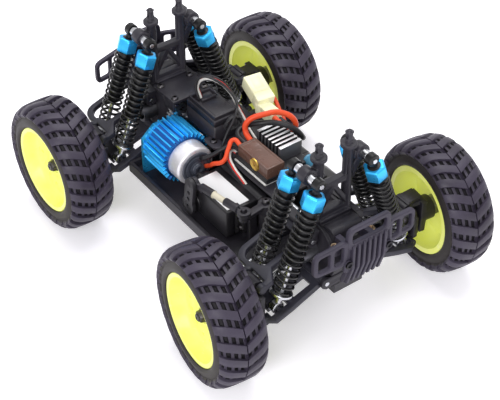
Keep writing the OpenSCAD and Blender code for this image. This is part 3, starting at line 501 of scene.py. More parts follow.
def dress(solid, material):
    """Gives a CAD node that shows as it is its finish."""
    shown = frame["nodes"][solid]
    shown.data.materials.clear()
    shown.data.materials.append(material)


for c in corners:
    dress(f"dogbone_{c}", steel)
dress("centre_shaft", steel)
dress("front_diff", cast_grey)
dress("rear_diff", cast_grey)
dress("motor_pinion", brass)
for c in ("fr", "fl"):
    dress(f"tie_rod_{c}", steel)


# Pins and screws: bright hinge pins and spacers, black screws through the bumpers, bronze ones in the front bosses.
# They are turned or cold-headed steel, and the screws' heads have a sunk socket.
def shared_out(piece, *shares):
    """Adds further materials and gives each the faces that its test picks."""
    for material, wanted in shares:
        piece.data.materials.append(material)
        for face in piece.data.polygons:
            if wanted(face):
                face.material_index = len(piece.data.materials) - 1


def middle(face):
    """The middle of a face in edit mode, in millimetres."""
    return face.calc_center_median() / MM


def inset(margin, depth, **how):
    """Insets the selected faces by a margin and raises or sinks what it holds, in millimetres."""
    bpy.ops.mesh.inset(thickness=margin * MM, depth=depth * MM, **how)


pins = copy_of("fasteners", "pins_and_screws", 0)
bumper_front, boss_reach, boss_low, head_low, head_top = 123.7, 4, 72.5, 74.5, 76
edit(pins, lambda f: (abs(middle(f).x) > bumper_front and abs(f.normal.x) > 0.9) or (
    f.normal.z > 0.9 and abs(middle(f).x - boss_x) < boss_reach and head_low < middle(f).z < head_top))
inset(1.0, 0, use_individual=True)
inset(0.12, -0.8, use_individual=True)
done()
ease(pins, 0.15)
fit(pins, "body", steel, "steel", "fasteners")
black_screw = metal("blackened screw steel", (44, 43, 47), (70, 68, 70), 0.3, (900, 900, 900))
bronze = metal("bronze-plated screw", (188, 164, 136), (132, 104, 78), 0.22, (900, 900, 900))
shared_out(
    pins, (black_screw, lambda f: abs(f.center.x) > 118 * MM),
    (bronze, lambda f: abs(f.center.x / MM - boss_x) < boss_reach and abs(f.center.y) < 18 * MM
     and boss_low < f.center.z / MM < head_top),
)


# Tyres: soft black rubber with wide chevron bars that point forwards at the top. The grooves between the bars are
# crossed by ribs, which leaves deep square pockets in each half, and a ring closes the grooves at the shoulder.
# The tread is modelled flat, one bar long, repeated, and wrapped round the carcass.
def pick_rims(piece, wanted=None):
    """Selects the open border edges that a test picks, or all of them, in edit mode."""
    bpy.ops.mesh.select_mode(type="EDGE")
    bpy.ops.mesh.select_all(action="DESELECT")
    mesh = bmesh.from_edit_mesh(piece.data)
    for line in mesh.edges:
        line.select_set(line.is_boundary and (wanted is None or wanted(line)))
    bmesh.update_edit_mesh(piece.data)


def close():
    """Merges what touches, turns all faces outwards and leaves edit mode."""
    pick_all()
    bpy.ops.mesh.remove_doubles(threshold=4e-6)
    bpy.ops.mesh.normals_make_consistent(inside=False)
    done()


def grow_rings(rings):
    """Extrudes the selected edge ring through rings of (radius, height) round the Z axis."""
    radius, height = rings[0]
    for next_radius, next_height in rings[1:]:
        bpy.ops.mesh.extrude_edges_move(TRANSFORM_OT_translate={"value": (0, 0, (next_height - height) * MM)})
        scale = next_radius / radius
        bpy.ops.transform.resize(value=(scale, scale, 1), center_override=(0, 0, next_height * MM))
        radius, height = next_radius, next_height


bars = 26
pitch, groove = 10.6, 5.0
rise, ring_drop, rib_drop = 3.0, 1.6, 1.9
slit_depth, pocket_depth, notch_depth = 1.7, 1.5, 0.9
slit, notch, edge_from, edge = 0.32, 12.9, 14.3, 16.0
pockets = [(1.0, 3.3), (5.1, 7.4), (9.2, 11.5)]
half_columns = [slit] + [s for pocket in pockets for s in pocket] + [notch, 13.6, edge_from, 15.2, edge]
columns = [-s for s in reversed(half_columns)] + half_columns
rows = [(groove - pitch) / 2, 0, groove, (groove + pitch) / 2]

bpy.ops.mesh.primitive_grid_add(x_subdivisions=len(rows) - 1, y_subdivisions=len(columns) - 1, size=2)
tread = bpy.context.object
for corner in tread.data.vertices:
    row = round((corner.co.x + 1) / 2 * (len(rows) - 1))
    column = round((corner.co.y + 1) / 2 * (len(columns) - 1))
    corner.co = Vector((rows[row], columns[column], rise)) * MM


def in_groove(face, low, high):
    """Tells whether a face of the flat tread lies in the groove, between two distances from the middle."""
    return 0 < middle(face).x < groove and low < abs(middle(face).y) < high and face.normal.z > 0.9


edit(tread, lambda f: abs(middle(f).y) < slit)
inset(0.08, -slit_depth, use_boundary=False)
pick(tread, lambda f: in_groove(f, edge_from, edge))
inset(0.2, -ring_drop, use_boundary=False)
pick(tread, lambda f: in_groove(f, slit, edge_from))
inset(0.2, -rib_drop, use_boundary=False)
pick(tread, lambda f: middle(f).z < rise - 0.9 * rib_drop and any(in_groove(f, low, high) for low, high in pockets))
inset(0.26, -pocket_depth, use_individual=True)
pick(tread, lambda f: middle(f).z < rise - 0.9 * rib_drop and in_groove(f, notch, edge_from))
inset(0.3, -notch_depth, use_boundary=False)
done()
ease(tread, 0.16, 2, 40)
zone = tread.data.attributes.new("zone", "INT", "FACE")
in_pocket, on_sidewall = 1, 2
# Faces sunk below the ribs are marked as pocket faces, which take a darker rubber as painted shade.
for face in tread.data.polygons:
    zone.data[face.index].value = in_pocket if face.center.z < (rise - rib_drop - 0.3) * MM else 0
rows_of_bars = tread.modifiers.new("bars", "ARRAY")
rows_of_bars.count = bars
rows_of_bars.use_relative_offset = False
rows_of_bars.use_constant_offset = True
rows_of_bars.constant_offset_displace = (pitch * MM, 0, 0)
bpy.ops.object.modifier_apply(modifier=rows_of_bars.name)

tyre_r, crown_r, crown_bend, crown_half, shoulder_bend = 44.0, 41.1, 88.0, 8.6, 6.1
sweep = math.tan(math.radians(28))


def wrap(point):
    """Wraps a point of the flat tread round the carcass, whose section is a flat crown and a round shoulder."""
    across, height = abs(point.y) / MM, point.z / MM
    side = -1 if point.y < 0 else 1
    bend = across / crown_bend
    width, radius = crown_bend * math.sin(bend), crown_r - crown_bend * (1 - math.cos(bend))
    if across > crown_half:
        turn = crown_half / crown_bend
        bend = turn + (across - crown_half) / shoulder_bend
        width = crown_bend * math.sin(turn) + shoulder_bend * (math.sin(bend) - math.sin(turn))
        radius = crown_r - crown_bend * (1 - math.cos(turn)) - shoulder_bend * (math.cos(turn) - math.cos(bend))
    if across > edge_from:
        out = min(1, (across - edge_from) / (edge - edge_from))
        height *= 1 - out * out * (3 - 2 * out)
    width += height * math.sin(bend)
    radius += height * math.cos(bend)
    angle = 2 * math.pi * point.x / (bars * pitch * MM) - across * sweep / tyre_r
    return Vector((radius * math.sin(angle), radius * math.cos(angle), side * width)) * MM


for corner in tread.data.vertices:
    corner.co = wrap(corner.co)
edit(tread)
bpy.ops.mesh.remove_doubles(threshold=4e-6)
rim_edge = wrap(Vector((0, edge * MM, 0)))
shoulder = (math.hypot(rim_edge.x, rim_edge.y) / MM, rim_edge.z / MM)
sidewall = [(35.0, 14.6), (33.4, 15.25), (31.8, 15.45), (30.8, 15.2), (30.0, 14.6), (29.65, 13.2), (28.05, 12.8)]
for side in (-1, 1):
    pick_rims(tread, lambda line: (line.verts[0].co.z + line.verts[1].co.z) * side > 0)
    grow_rings([(shoulder[0], side * shoulder[1])] + [(r, side * w) for r, w in sidewall])
pick_rims(tread)
bpy.ops.mesh.bridge_edge_loops()
close()
for face in tread.data.polygons:
    if face.center.xy.length < (shoulder[0] + 0.9) * MM:
        tread.data.attributes["zone"].data[face.index].value = on_sidewall
only(tread)
bpy.ops.object.shade_smooth_by_angle(angle=math.radians(35))

# The tread rubber is lighter and more blue-violet than the sidewall rubber: a painted sheen.
rubber = plastic("tyre rubber with painted sheen", (46, 40, 54), (84, 77, 97), grain=2200, gloss=0.46, wear=0.35, depth=0.3, shine=0.4)
# The pocket faces get this darker rubber as painted shade.
pocket_shade_rubber = plastic("pocket rubber with painted shade", (24, 21, 26), (40, 37, 44), grain=2200, gloss=0.6, wear=0.2,
                       depth=0.3)
sidewall_rubber = plastic("smooth sidewall rubber", (38, 34, 34), (62, 56, 55), grain=1600, gloss=0.5, wear=0.3)
joints = {joint["name"]: joint for joint in frame["joints"]}
wheel_at = {}
for c in corners:
    spin = joints["drive" if c == "rr" else f"wheel_spin_{c}"]
    turn = math.atan2(-spin["axis"][0], spin["axis"][1])
    wheel_at[c] = Matrix.Translation(spin["pos_m"]) @ Matrix.Rotation(turn, 4, "Z")
for c in corners:
    tyre = fit(copy_to(tread, f"chevron_tyre_{c}", wheel_at[c] @ lying), f"wheel_{c}", rubber, "tyre", f"tyre_{c}")
    zone = tyre.data.attributes["zone"].data
    shared_out(tyre, (pocket_shade_rubber, lambda face: zone[face.index].value == in_pocket),
               (sidewall_rubber, lambda face: zone[face.index].value == on_sidewall))
bpy.data.objects.remove(tread)


# Rims: neon-yellow moulded nylon with a deep conical dish, a bright rolled lip and a ring of small moulding
# dimples round the flat disc. Model pieces have the outside of the wheel at +Z.
def turned(name, rings, sides, closed=False):
    """Turns a profile of (radius, height) round the Z axis by extruding a circle from ring to ring."""
    bpy.ops.mesh.primitive_circle_add(vertices=sides, radius=rings[0][0] * MM, location=(0, 0, 0))
    piece = bpy.context.object
    piece.name = name
    bpy.ops.object.mode_set(mode="EDIT")
    bpy.ops.mesh.select_mode(type="EDGE")
    pick_all()
    bpy.ops.transform.translate(value=(0, 0, rings[0][1] * MM))
    grow_rings(rings)
    if closed:
        pick_rims(piece)
        bpy.ops.mesh.bridge_edge_loops()
    else:
        bpy.ops.mesh.edge_face_add()
        pick_rims(piece)
        bpy.ops.mesh.edge_face_add()
    close()
    return piece


rim_sides = 96
rim_model = turned("rim_model", [
    (28.0, -12.8), (28.0, 12.8), (29.5, 12.95), (29.6, 13.6), (29.3, 14.15), (28.7, 14.3), (27.5, 14.2),
    (26.7, 13.8), (26.4, 13.0), (25.1, 9.2), (24.1, 7.2), (23.4, 6.1), (22.4, 5.2), (21.4, 5.0), (17.6, 5.0),
    (15.2, 5.0), (8.2, 5.0), (7.6, 5.5), (5.4, 5.6), (5.0, 5.0), (2.6, 5.0), (2.6, 2.5), (24.0, 2.5), (26.0, 0.0),
    (26.1, -14.3), (29.5, -14.3), (29.6, -13.0),
], rim_sides, True)
face_turn, dimples_from, dimples_to, dimple_every, dimple_faces = 360 / rim_sides, 15.3, 17.5, 8, 2
edit(rim_model, lambda f: dimples_from < middle(f).xy.length < dimples_to and f.normal.z > 0.9
     and round(math.degrees(math.atan2(*middle(f).xy)) / face_turn - 0.5) % dimple_every < dimple_faces)
inset(0.3, -1.3)
done()
ease(rim_model, 0, angle=34)
# The neon nylon emits its own colour as a painted glow, which lightens it where shade falls.
neon = plastic("neon yellow nylon", (240, 246, 112), (252, 254, 186), grain=700, gloss=0.3, wear=0.5,
               depth=0.06, coat=0.2, lampless_glow=0.15)

nut_model = turned("nut_model", [
    (2.3, 5.0), (4.6, 5.0), (4.6, 5.6), (4.1, 5.9), (3.8, 8.0), (3.4, 8.6), (2.3, 8.6),
], 6, True)
ease(nut_model, 0.2)
axle_model = turned("axle_model", [
    (5.4, -29.0), (6.0, -29.0), (6.2, -28.7), (6.2, -18.4), (5.8, -18.0), (2.5, -17.6), (2.5, 9.0), (2.1, 9.5),
    (0.9, 9.5), (0.8, 8.4),
], 32)
ease(axle_model, 0)
hex_model = turned("hex_model", [(2.55, -4.5), (6.3, -4.5), (6.6, -4.1), (6.6, 2.45), (2.55, 2.45)], 6, True)
ease(hex_model, 0.25)
dark_steel = metal("black oxide steel", (70, 68, 72), (110, 106, 104), 0.3, (1200, 1200, 1200))
outwards = {"r": lying, "l": lying.inverted()}
for c in corners:
    stand = wheel_at[c] @ outwards[c[1]]
    for model, name, finish, slot in (
        (rim_model, "dish_rim", neon, "rim"), (nut_model, "wheel_nut", dark_steel, "steel"),
        (axle_model, "stub_axle", dark_steel, "steel"), (hex_model, "drive_hex", cast_grey, "steel"),
    ):
        fit(copy_to(model, f"{name}_{c}", stand), f"wheel_{c}", finish, slot, f"rim_{c}")
for model in (rim_model, nut_model, axle_model, hex_model):
    bpy.data.objects.remove(model)

# Shocks: two oil-filled coil-overs per corner. Each has a blue anodised hexagonal cap, a black barrel inside a
# tight black coil spring, and a chromed rod with a perch and a lower eye. Models hang down along -Z from the pin.
shock_top, shock_low = Vector((0, 19.5, 116.5)), Vector((0, 47.99, 37.46))
shock_len = (shock_low - shock_top).length
spring_from, spring_to = 16.0, shock_len - 11.3
cap_model = turned("cap_model", [
    (2.0, -6.0), (5.9, -6.0), (6.7, -6.5), (7.0, -7.2), (7.0, -14.6), (6.7, -15.4), (6.0, -15.7), (2.0, -15.7),
], 6, True)
ease(cap_model, 0.3, 3, 25)
barrel_model = turned("barrel_model", [
    (1.6, -2.6), (2.4, -2.8), (2.4, -5.4), (4.6, -6.2), (4.6, -15.5), (6.2, -15.6), (6.2, -16.2), (4.6, -16.4),
    (4.6, -50.6), (4.2, -52.0), (1.6, -52.0),
], 32, True)
eye_model = turned("eye_model", [
    (1.58, -2.5), (3.4, -2.5), (4.0, -2.0), (4.0, 2.0), (3.4, 2.5), (1.58, 2.5),
], 32, True)
rod_model = turned("rod_model", [(0.6, -42.5), (1.4, -42.5), (1.5, -43.0)] + [
    (radius, above - shock_len) for radius, above in (
        (1.5, 11.2), (7.0, 11.0), (7.2, 10.7), (7.2, 9.7), (7.0, 9.4), (3.4, 9.2), (3.0, 8.8), (3.0, 6.0), (2.4, 5.4),
        (2.4, 3.4))
], 32)
foot_model = turned("foot_model", [
    (2.2, -2.5), (3.7, -2.5), (4.2, -2.0), (4.2, 2.0), (3.7, 2.5), (2.2, 2.5),
], 32, True)

wire_r, coil_r, coils = 0.8, 5.9, 14
bpy.ops.mesh.primitive_circle_add(vertices=10, radius=wire_r * MM, location=(coil_r * MM, 0, 0),
                                  rotation=(math.radians(90), 0, 0))
coil_model = bpy.context.object
bpy.ops.object.transform_apply()
wind = coil_model.modifiers.new("wind", "SCREW")
wind.angle = 2 * math.pi * coils
wind.screw_offset = -(spring_to - spring_from - 2 * wire_r) * MM
wind.steps = wind.render_steps = 28 * coils
wind.use_merge_vertices = False
bpy.ops.object.modifier_apply(modifier=wind.name)
for corner in coil_model.data.vertices:
    corner.co.z -= (spring_from + wire_r) * MM
edit(coil_model)
pick_rims(coil_model)
bpy.ops.mesh.edge_face_add()
close()
for model in (barrel_model, eye_model, rod_model, foot_model, coil_model):
    ease(model, 0, angle=36)

blue_anodised = metal("blue anodising", (56, 186, 252), (38, 158, 238), 0.22, (500, 500, 900), bare=0.6)
spring_black = plastic("black lacquered spring wire", (16, 15, 17), (36, 35, 38), grain=1500, gloss=0.24,
                       depth=0.1, coat=0.3)
barrel_black = plastic("hard-coated barrel", (14, 14, 16), (36, 36, 40), grain=1800, gloss=0.28)
across = Matrix.Rotation(math.radians(90), 4, "Y")
axle_x, from_axle = 87, 11
for c in corners:
    end, side = (1 if c[0] == "f" else -1), (1 if c[1] == "l" else -1)
    top = Vector((axle_x * end, shock_top.y * side, shock_top.z))
    fall = Vector((0, (shock_low.y - shock_top.y) * side, shock_low.z - shock_top.z)).normalized()
    hang = fall.rotation_difference(Vector((0, 0, -1))).inverted().to_matrix().to_4x4()
    caps, barrels, rods, springs = [], [], [], []
    for dx in (-from_axle, from_axle):
        hung = top + Vector((dx, 0, 0))
        pin, low = spot(*hung), spot(*(hung + fall * shock_len))
        caps.append(copy_to(cap_model, "cap", pin @ hang))
        barrels += [copy_to(barrel_model, "barrel", pin @ hang), copy_to(eye_model, "eye", pin @ across)]
        rods += [copy_to(rod_model, "rod", pin @ hang), copy_to(foot_model, "foot", low @ across)]
        springs.append(copy_to(coil_model, "spring", pin @ hang))
    fit(joined(f"shock_caps_{c}", *caps), f"shock_{c}", blue_anodised, "blue_anodised", f"shock_bodies_{c}")
    fit(joined(f"shock_barrels_{c}", *barrels), f"shock_{c}", barrel_black, "black_plastic", f"shock_bodies_{c}")
    fit(joined(f"shock_pistons_{c}", *rods), f"shock_piston_{c}", steel, "steel", f"shock_rods_{c}")
    coil = fit(joined(f"coil_springs_{c}", *springs), f"shock_{c}", spring_black, "spring_steel", f"springs_{c}")
    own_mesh(coil)
for model in (cap_model, barrel_model, eye_model, rod_model, foot_model, coil_model):
    bpy.data.objects.remove(model)

# Steering: black nylon bellcrank and relay plate under the shelf, the servo's tapered arm with its row of
# holes, and a drag link of cream nylon between two black ball ends.
horn_grey = plastic("horn nylon", (38, 37, 41), (72, 70, 76), grain=1200, gloss=0.4)
cream = plastic("cream nylon", (214, 206, 184), (232, 226, 208), grain=900, gloss=0.4)
fit(copy_of("bellcrank", "steering_crank", 0.3), "crank", black_nylon, "black_plastic", "bellcrank")
fit(copy_of("relay_plate", "relay_bar", 0.3), "relay", black_nylon, "black_plastic", "relay_plate")
fit(copy_of("servo_horn", "servo_arm", 0.3), "horn", horn_grey, "link_plastic", "servo_horn")
drag = fit(copy_of("drag_link", "drag_bar", 0.25), "link", black_nylon, "link_plastic", "drag_link")
along_link, ball_end = [corner.co.x for corner in drag.data.vertices], 19 * MM
shared_out(drag, (cream, lambda f: min(along_link) + ball_end < f.center.x < max(along_link) - ball_end))

# Motor: a brushed can motor with a drawn steel can, a dark end bell with stepped rings and a bearing boss.
# It sits in a blue anodised sleeve with cooling fins and a mounting plate.
motor_axis = Vector((-57, -22.85, 53))
motor_at = spot(*motor_axis) @ across
can = settle(turned("motor_can", [
    (1.6, 0.0), (5.0, 0.0), (5.2, 0.3), (12.4, 0.3), (13.4, 0.8), (13.8, 1.6), (13.8, 33.6), (13.6, 34.6),
    (12.9, 35.4), (11.9, 35.8), (1.6, 35.8),
], 64, True), motor_at)
ease(can, 0, angle=30)
can_steel = metal("motor can steel", (236, 234, 240), (204, 201, 207), 0.26, (200, 2600, 2600), bare=0.5)
fit(can, "body", can_steel, "steel", "motor")
bell = settle(turned("motor_end_bell", [
    (1.7, 35.7), (11.0, 35.7), (11.0, 36.4), (10.4, 36.9), (9.6, 36.9), (9.2, 36.5), (8.4, 36.5), (8.2, 37.3),
    (6.6, 37.5), (6.3, 37.0), (5.2, 37.0), (5.0, 37.8), (4.2, 38.0), (4.0, 38.3), (4.0, 39.6), (3.6, 40.0),
    (2.0, 40.0), (1.7, 39.0),
], 64, True), motor_at)
ease(bell, 0, angle=30)
bell_grey = plastic("end bell plastic", (62, 66, 78), (112, 114, 124), grain=900, gloss=0.28, coat=0.2)
fit(bell, "body", bell_grey, "black_plastic", "motor")
sleeve = copy_of("motor_heat_sink", "motor_sleeve", 0.1, 1)
fit(sleeve, "body", blue_anodised, "blue_anodised", "motor_heat_sink")
# The faces between the fins, near the sleeve's root, are a darker blue as painted shade.
fin_gap_shade_blue = metal("blue anodising with painted shade between the fins", (16, 84, 152), (10, 64, 126), 0.32, (500, 500, 900), bare=0.6)
plate_front, fin_root = -56 * MM, 16.4 * MM
shared_out(sleeve, (fin_gap_shade_blue, lambda f: f.center.x > plate_front and (
    f.center - motor_axis * MM).yz.length < fin_root))


# Servo: a black nylon case of three mouldings, lying on its side and screwed to two posts by its ears. Its label is
# blank white paper, glued on top, and the output spline stands in a round seat.
def block(name, low, high, edge, steps=3):
    """A solid block between two corners, in millimetres, with rounded edges."""
    low, high = Vector(low) * MM, Vector(high) * MM
    bpy.ops.mesh.primitive_cube_add(size=1, location=(low + high) / 2, scale=high - low)
    piece = bpy.context.object
    piece.name = name
    bpy.ops.object.transform_apply()
    if edge:
        ease(piece, edge, steps)
    return piece


def scored(piece, axis, at, width=0.35, depth=0.3):
    """Scores a groove round a block, square to an axis, as a joint line between two mouldings."""
    along = Vector([1.0 if i == axis else 0.0 for i in range(3)])
    for shift in (-width / 2, width / 2):
        edit(piece)
        bpy.ops.mesh.bisect(plane_co=along * (at + shift) * MM, plane_no=along)
        done()
    edit(piece, lambda f: abs(middle(f)[axis] - at) < width / 2 and abs(f.normal[axis]) < 0.5)
    inset(0.02, -depth)
    done()


servo_black = plastic("servo case plastic", (30, 29, 32), (66, 64, 70), grain=1300, gloss=0.36)
case = block("servo_case", (-10, -36, 36), (31, -5, 56), 0.8)
for seam in (-29.5, -12.0):
    scored(case, 1, seam)
ears = [block("ear", (x, -27, 38), (x + 5, -24, 54), 0.5) for x in (-15, 31)]
spline = settle(turned("spline_seat", [
    (1.0, 2.6), (3.0, 2.6), (3.0, -2.2), (6.0, -2.4), (6.4, -3.0), (6.4, -4.2), (1.0, -4.2),
], 32, True), spot(-3, -39.7, 43) @ lying)
fit(joined("servo_case", case, *ears, spline), "body", servo_black, "servo_plastic", "servo")

label = block("servo_label", (-7, -33.5, 56.0), (28.5, -17, 56.15), 0)
paper_white = plastic("label paper", (238, 238, 240), (214, 214, 218), grain=1500, gloss=0.55, wear=0.5, depth=0.1)
edit(label, lambda f: f.normal.z > 0.9)
inset(0.3, 0.03)
done()
fit(label, "body", paper_white, "servo_plastic")


# Speed controller: a black base with a brown moulded cover, a gold disc on its side, a finned aluminium sink
# over the transistors and a blue capacitor lying beside it.
def sunk(piece, wanted, margin, wall, depth):
    """Leaves a margin round the faces that a test picks and sinks, or raises, what it holds, in millimetres."""
    edit(piece, wanted)
    inset(margin, 0)
    inset(wall, depth)
    done()


shelf = 62
base = block("controller_base", (-4, -4.5, shelf + 0.9), (30, 30, shelf + 5), 0.6)
scored(base, 2, shelf + 2.4, 0.3, 0.25)
controller_black = plastic("controller base plastic", (32, 31, 34), (68, 66, 70), grain=1300, gloss=0.38)
fit(base, "body", controller_black, "controller_plastic", "speed_controller")
foam = block("foam_pad", (-3.4, -5.3, shelf - 0.1), (29.4, 29, shelf + 1.0), 0.2)
white_foam = plastic("white foam tape", (236, 234, 232), (206, 204, 202), grain=2600, gloss=0.7, depth=0.5)
fit(foam, "body", white_foam, "link_plastic")
cover = block("controller_cover", (-1, -4, shelf + 4.9), (30, 9.5, shelf + 13.2), 0)
sunk(cover, lambda f: f.normal.z > 0.9, 1.2, 0.25, -0.8)
ease(cover, 0.45, 3)
brown = plastic("smoked brown moulding", (96, 68, 58), (142, 110, 98), grain=420, gloss=0.24, coat=0.4)
fit(cover, "body", brown, "controller_plastic", "speed_controller")
sink_low, slot_low, sink_top = shelf + 4.9, shelf + 7.4, shelf + 15.4
slot_width, slot_pitch = 2.0, 3.6
comb = [(21, sink_low), (21, sink_top)]
for i in reversed(range(6)):
    gap = -1.6 + slot_pitch * i
    comb += [(gap + slot_width, sink_top), (gap + slot_width, slot_low), (gap, slot_low), (gap, sink_top)]
comb += [(-4, sink_top), (-4, sink_low)]
sink = slab(spot(0, 30, 0) @ lying, 17, 0.12, comb)
sink.name = "controller_sink"
aluminium = metal("extruded aluminium", (226, 226, 230), (192, 192, 196), 0.24, (300, 2600, 300), bare=0.6)
fit(sink, "body", aluminium, "steel", "speed_controller")
# Every face of the sink that does not face up is a darker grey than its tops.
sink_lower_faces_grey = metal("darker grey aluminium of the sink's lower faces", (104, 104, 110), (126, 125, 130), 0.34, (300, 300, 900), bare=0.5)
# The walls and floors of the sink's slots are painted dark as shade between the fins.
slot_shade_metal = metal("painted shade in the sink's slots", (44, 44, 48), (62, 61, 64), 0.4, (300, 300, 900), bare=0.5)
shared_out(
    sink, (sink_lower_faces_grey, lambda f: f.normal.z < 0.6),
    (slot_shade_metal, lambda f: sink_low + 0.3 < f.center.z / MM < sink_top - 0.2 and abs(f.center.x / MM - 8.5) < 12.3
     and abs(f.normal.y) < 0.5),
)
disc = settle(turned("gold_disc", [
    (0.8, 0.0), (4.4, 0.0), (4.4, 0.5), (4.0, 0.8), (3.4, 0.6), (0.8, 0.6),
], 40, True), spot(17, -4, shelf + 9) @ lying)
ease(disc, 0)
gold = metal("gold foil", (226, 190, 96), (190, 146, 60), 0.24, (600, 600, 600))
fit(disc, "body", gold, "brass")
capacitor = settle(turned("controller_capacitor", [
    (1.0, -6.0), (3.2, -6.0), (3.6, -5.6), (3.6, -4.6), (3.3, -4.2), (3.6, -3.8), (3.6, 5.6), (3.2, 6.0), (2.9, 5.7),
    (1.0, 5.7),
], 40, True), spot(33, 30, shelf + 4) @ across)
ease(capacitor, 0)
capacitor_blue = plastic("capacitor sleeve", (74, 138, 172), (120, 176, 200), grain=900, gloss=0.25, coat=0.3)
fit(capacitor, "body", capacitor_blue, "blue_anodised", "speed_controller")

# Receiver: a black moulded box of two halves, taped to the shelf. Its lid has a deep step and a raised panel with a
# bridge between them, and a block of sockets for the servo leads stands on one side.
box = block("receiver_box", (-57, -5.5, shelf), (-24.5, 14, shelf + 17), 0.9)
scored(box, 2, shelf + 12.5, 0.5, 0.4)
lid = block("lid", (-55.8, -4.3, shelf + 16.9), (-25.7, 12.8, shelf + 19.5), 0)
lid_step = -44
edit(lid)
bpy.ops.mesh.bisect(plane_co=(lid_step * MM, 0, 0), plane_no=(1, 0, 0))
done()
sunk(lid, lambda f: f.normal.z > 0.9 and middle(f).x < lid_step, 1.3, 0.15, -2.2)
sunk(lid, lambda f: f.normal.z > 0.9 and middle(f).x > lid_step, 1.2, 0.3, 0.35)
ease(lid, 0.25)
bridge = block("bridge", (-46, -1.5, shelf + 17), (-43.6, 9.5, shelf + 21.4), 0.5)
sockets = block("sockets", (-57, 13.9, shelf), (-43, 17, shelf + 9), 0.3)
sunk(sockets, lambda f: f.normal.y > 0.9 and f.calc_area() > 50 * MM * MM, 1.0, 0.1, -1.6)
receiver_black = plastic("receiver case plastic", (34, 32, 37), (70, 67, 74), grain=1500, gloss=0.32)
fit(joined("receiver_box", box, lid, bridge, sockets), "body", receiver_black, "servo_plastic", "receiver")

# Cable plate: a small plate of glossy black nylon on the shelf's edge beside the motor, which keeps the leads off
# the gears. It is a flat moulding, held by one screw.
strap_edge = [(-31, -2), (-31, -10.5), (-17.5, -10.5), (-15.5, -2)]
strap = slab(spot(0, 0, shelf + 0.4), 1.8, 0.4, outline_of(strap_edge, 2.5))
fit(strap, "body", gloss_nylon, "black_plastic")

# Button-head screws: black oxide steel with a round socket, on the spur cover, the shelf, the crank's pivot, the
# cable plate and the servo's ears.
screw_model = turned("screw_model", [(1.0, 0.4), (1.1, 1.5), (1.7, 1.45), (2.3, 0.9), (2.5, 0.1), (2.5, -0.1)], 24)
ease(screw_model, 0, angle=40)
standing = [(-24.4, -6.6, 64.2), (42, -14, 63), (38.5, 6, 62), (38.5, 27, 62)]
standing += [(x, y, 79) for x in (-78, -61.2) for y in (-11.6, 11.6)]
screws = [copy_to(screw_model, "screw", spot(*at)) for at in standing]
screws += [copy_to(screw_model, "screw", spot(x, -27, up) @ lying) for x in (-12.5, 33.5) for up in (42, 50)]
bpy.data.objects.remove(screw_model)
fit(joined("button_screws", *screws), "body", dark_steel, "steel")

# Battery: six round cells side by side under dark shrink wrap, which dips between them. The pack lies in the left
# half of the tray, under the shelf.
pack = block("battery_pack", (-46, 12.5, 33), (46, 43, 59), 4.0, 4)
for seam in (-30.7, -15.3, 0.0, 15.3, 30.7):
    scored(pack, 0, seam, 2.2, 0.5)
ease(pack, 0.3)
wrap_black = plastic("shrink wrap", (30, 28, 30), (70, 66, 70), grain=260, gloss=0.26, wear=0.4, depth=0.5, coat=0.3)
fit(pack, "body", wrap_black, "battery_wrap", "battery")


# Wiring: silicone leads from the motor, battery and receiver to the controller, with a cream two-part plug and
# a spare length of the aerial lead wound into a coil.
def lead(name, points, radius):
    """A round lead through the points of its route, in millimetres, with heights from the shelf."""
    line = bpy.data.curves.new(name, "CURVE")
    line.dimensions = "3D"
    line.bevel_depth = radius * MM
    line.bevel_resolution = 3
    line.resolution_u = 8
    line.use_fill_caps = True
    spline = line.splines.new("BEZIER")
    spline.bezier_points.add(len(points) - 1)
    for knot, (x, y, up) in zip(spline.bezier_points, points):
        knot.co = Vector((x, y, shelf + up)) * MM
        knot.handle_left_type = knot.handle_right_type = "AUTO"
    piece = bpy.data.objects.new(name, line)
    bpy.context.scene.collection.objects.link(piece)
    only(piece)
    bpy.ops.object.convert(target="MESH")
    piece = bpy.context.object
    ease(piece, 0, angle=50)
    return piece


controller_x, bell_x, pack_y = -1.05, -19.45, 43.05
orange, black_lead, red_lead, white_lead = [
    plastic(name, colour, worn, grain=1500, gloss=gloss, depth=0.1) for name, colour, worn, gloss in (
        ("orange-red silicone", (232, 74, 36), (244, 110, 70), 0.36),
        ("black silicone", (28, 27, 30), (58, 57, 62), 0.34),
        ("red lead jacket", (206, 44, 38), (226, 84, 74), 0.32),
        ("white lead jacket", (228, 226, 222), (206, 203, 198), 0.36),
    )
]
ribbon = (("black", black_lead, -1), ("red", red_lead, 0), ("white", white_lead, 1))
receiver_route = [
    (-52, 3, 17.4), (-56, 3.5, 25), (-53.5, 6.5, 30), (-47, 12, 30), (-41, 17, 24), (-36, 21, 12), (-28, 22, 4),
    (-14, 18, 3), (-4, 16, 3)]
switch_route = [(-5, -2.4, 2.4), (-8, -4.5, 4.6), (-5, -9.2, 4.4), (2, -11, 0.8), (9, -10.6, -3), (14, -10, -6)]
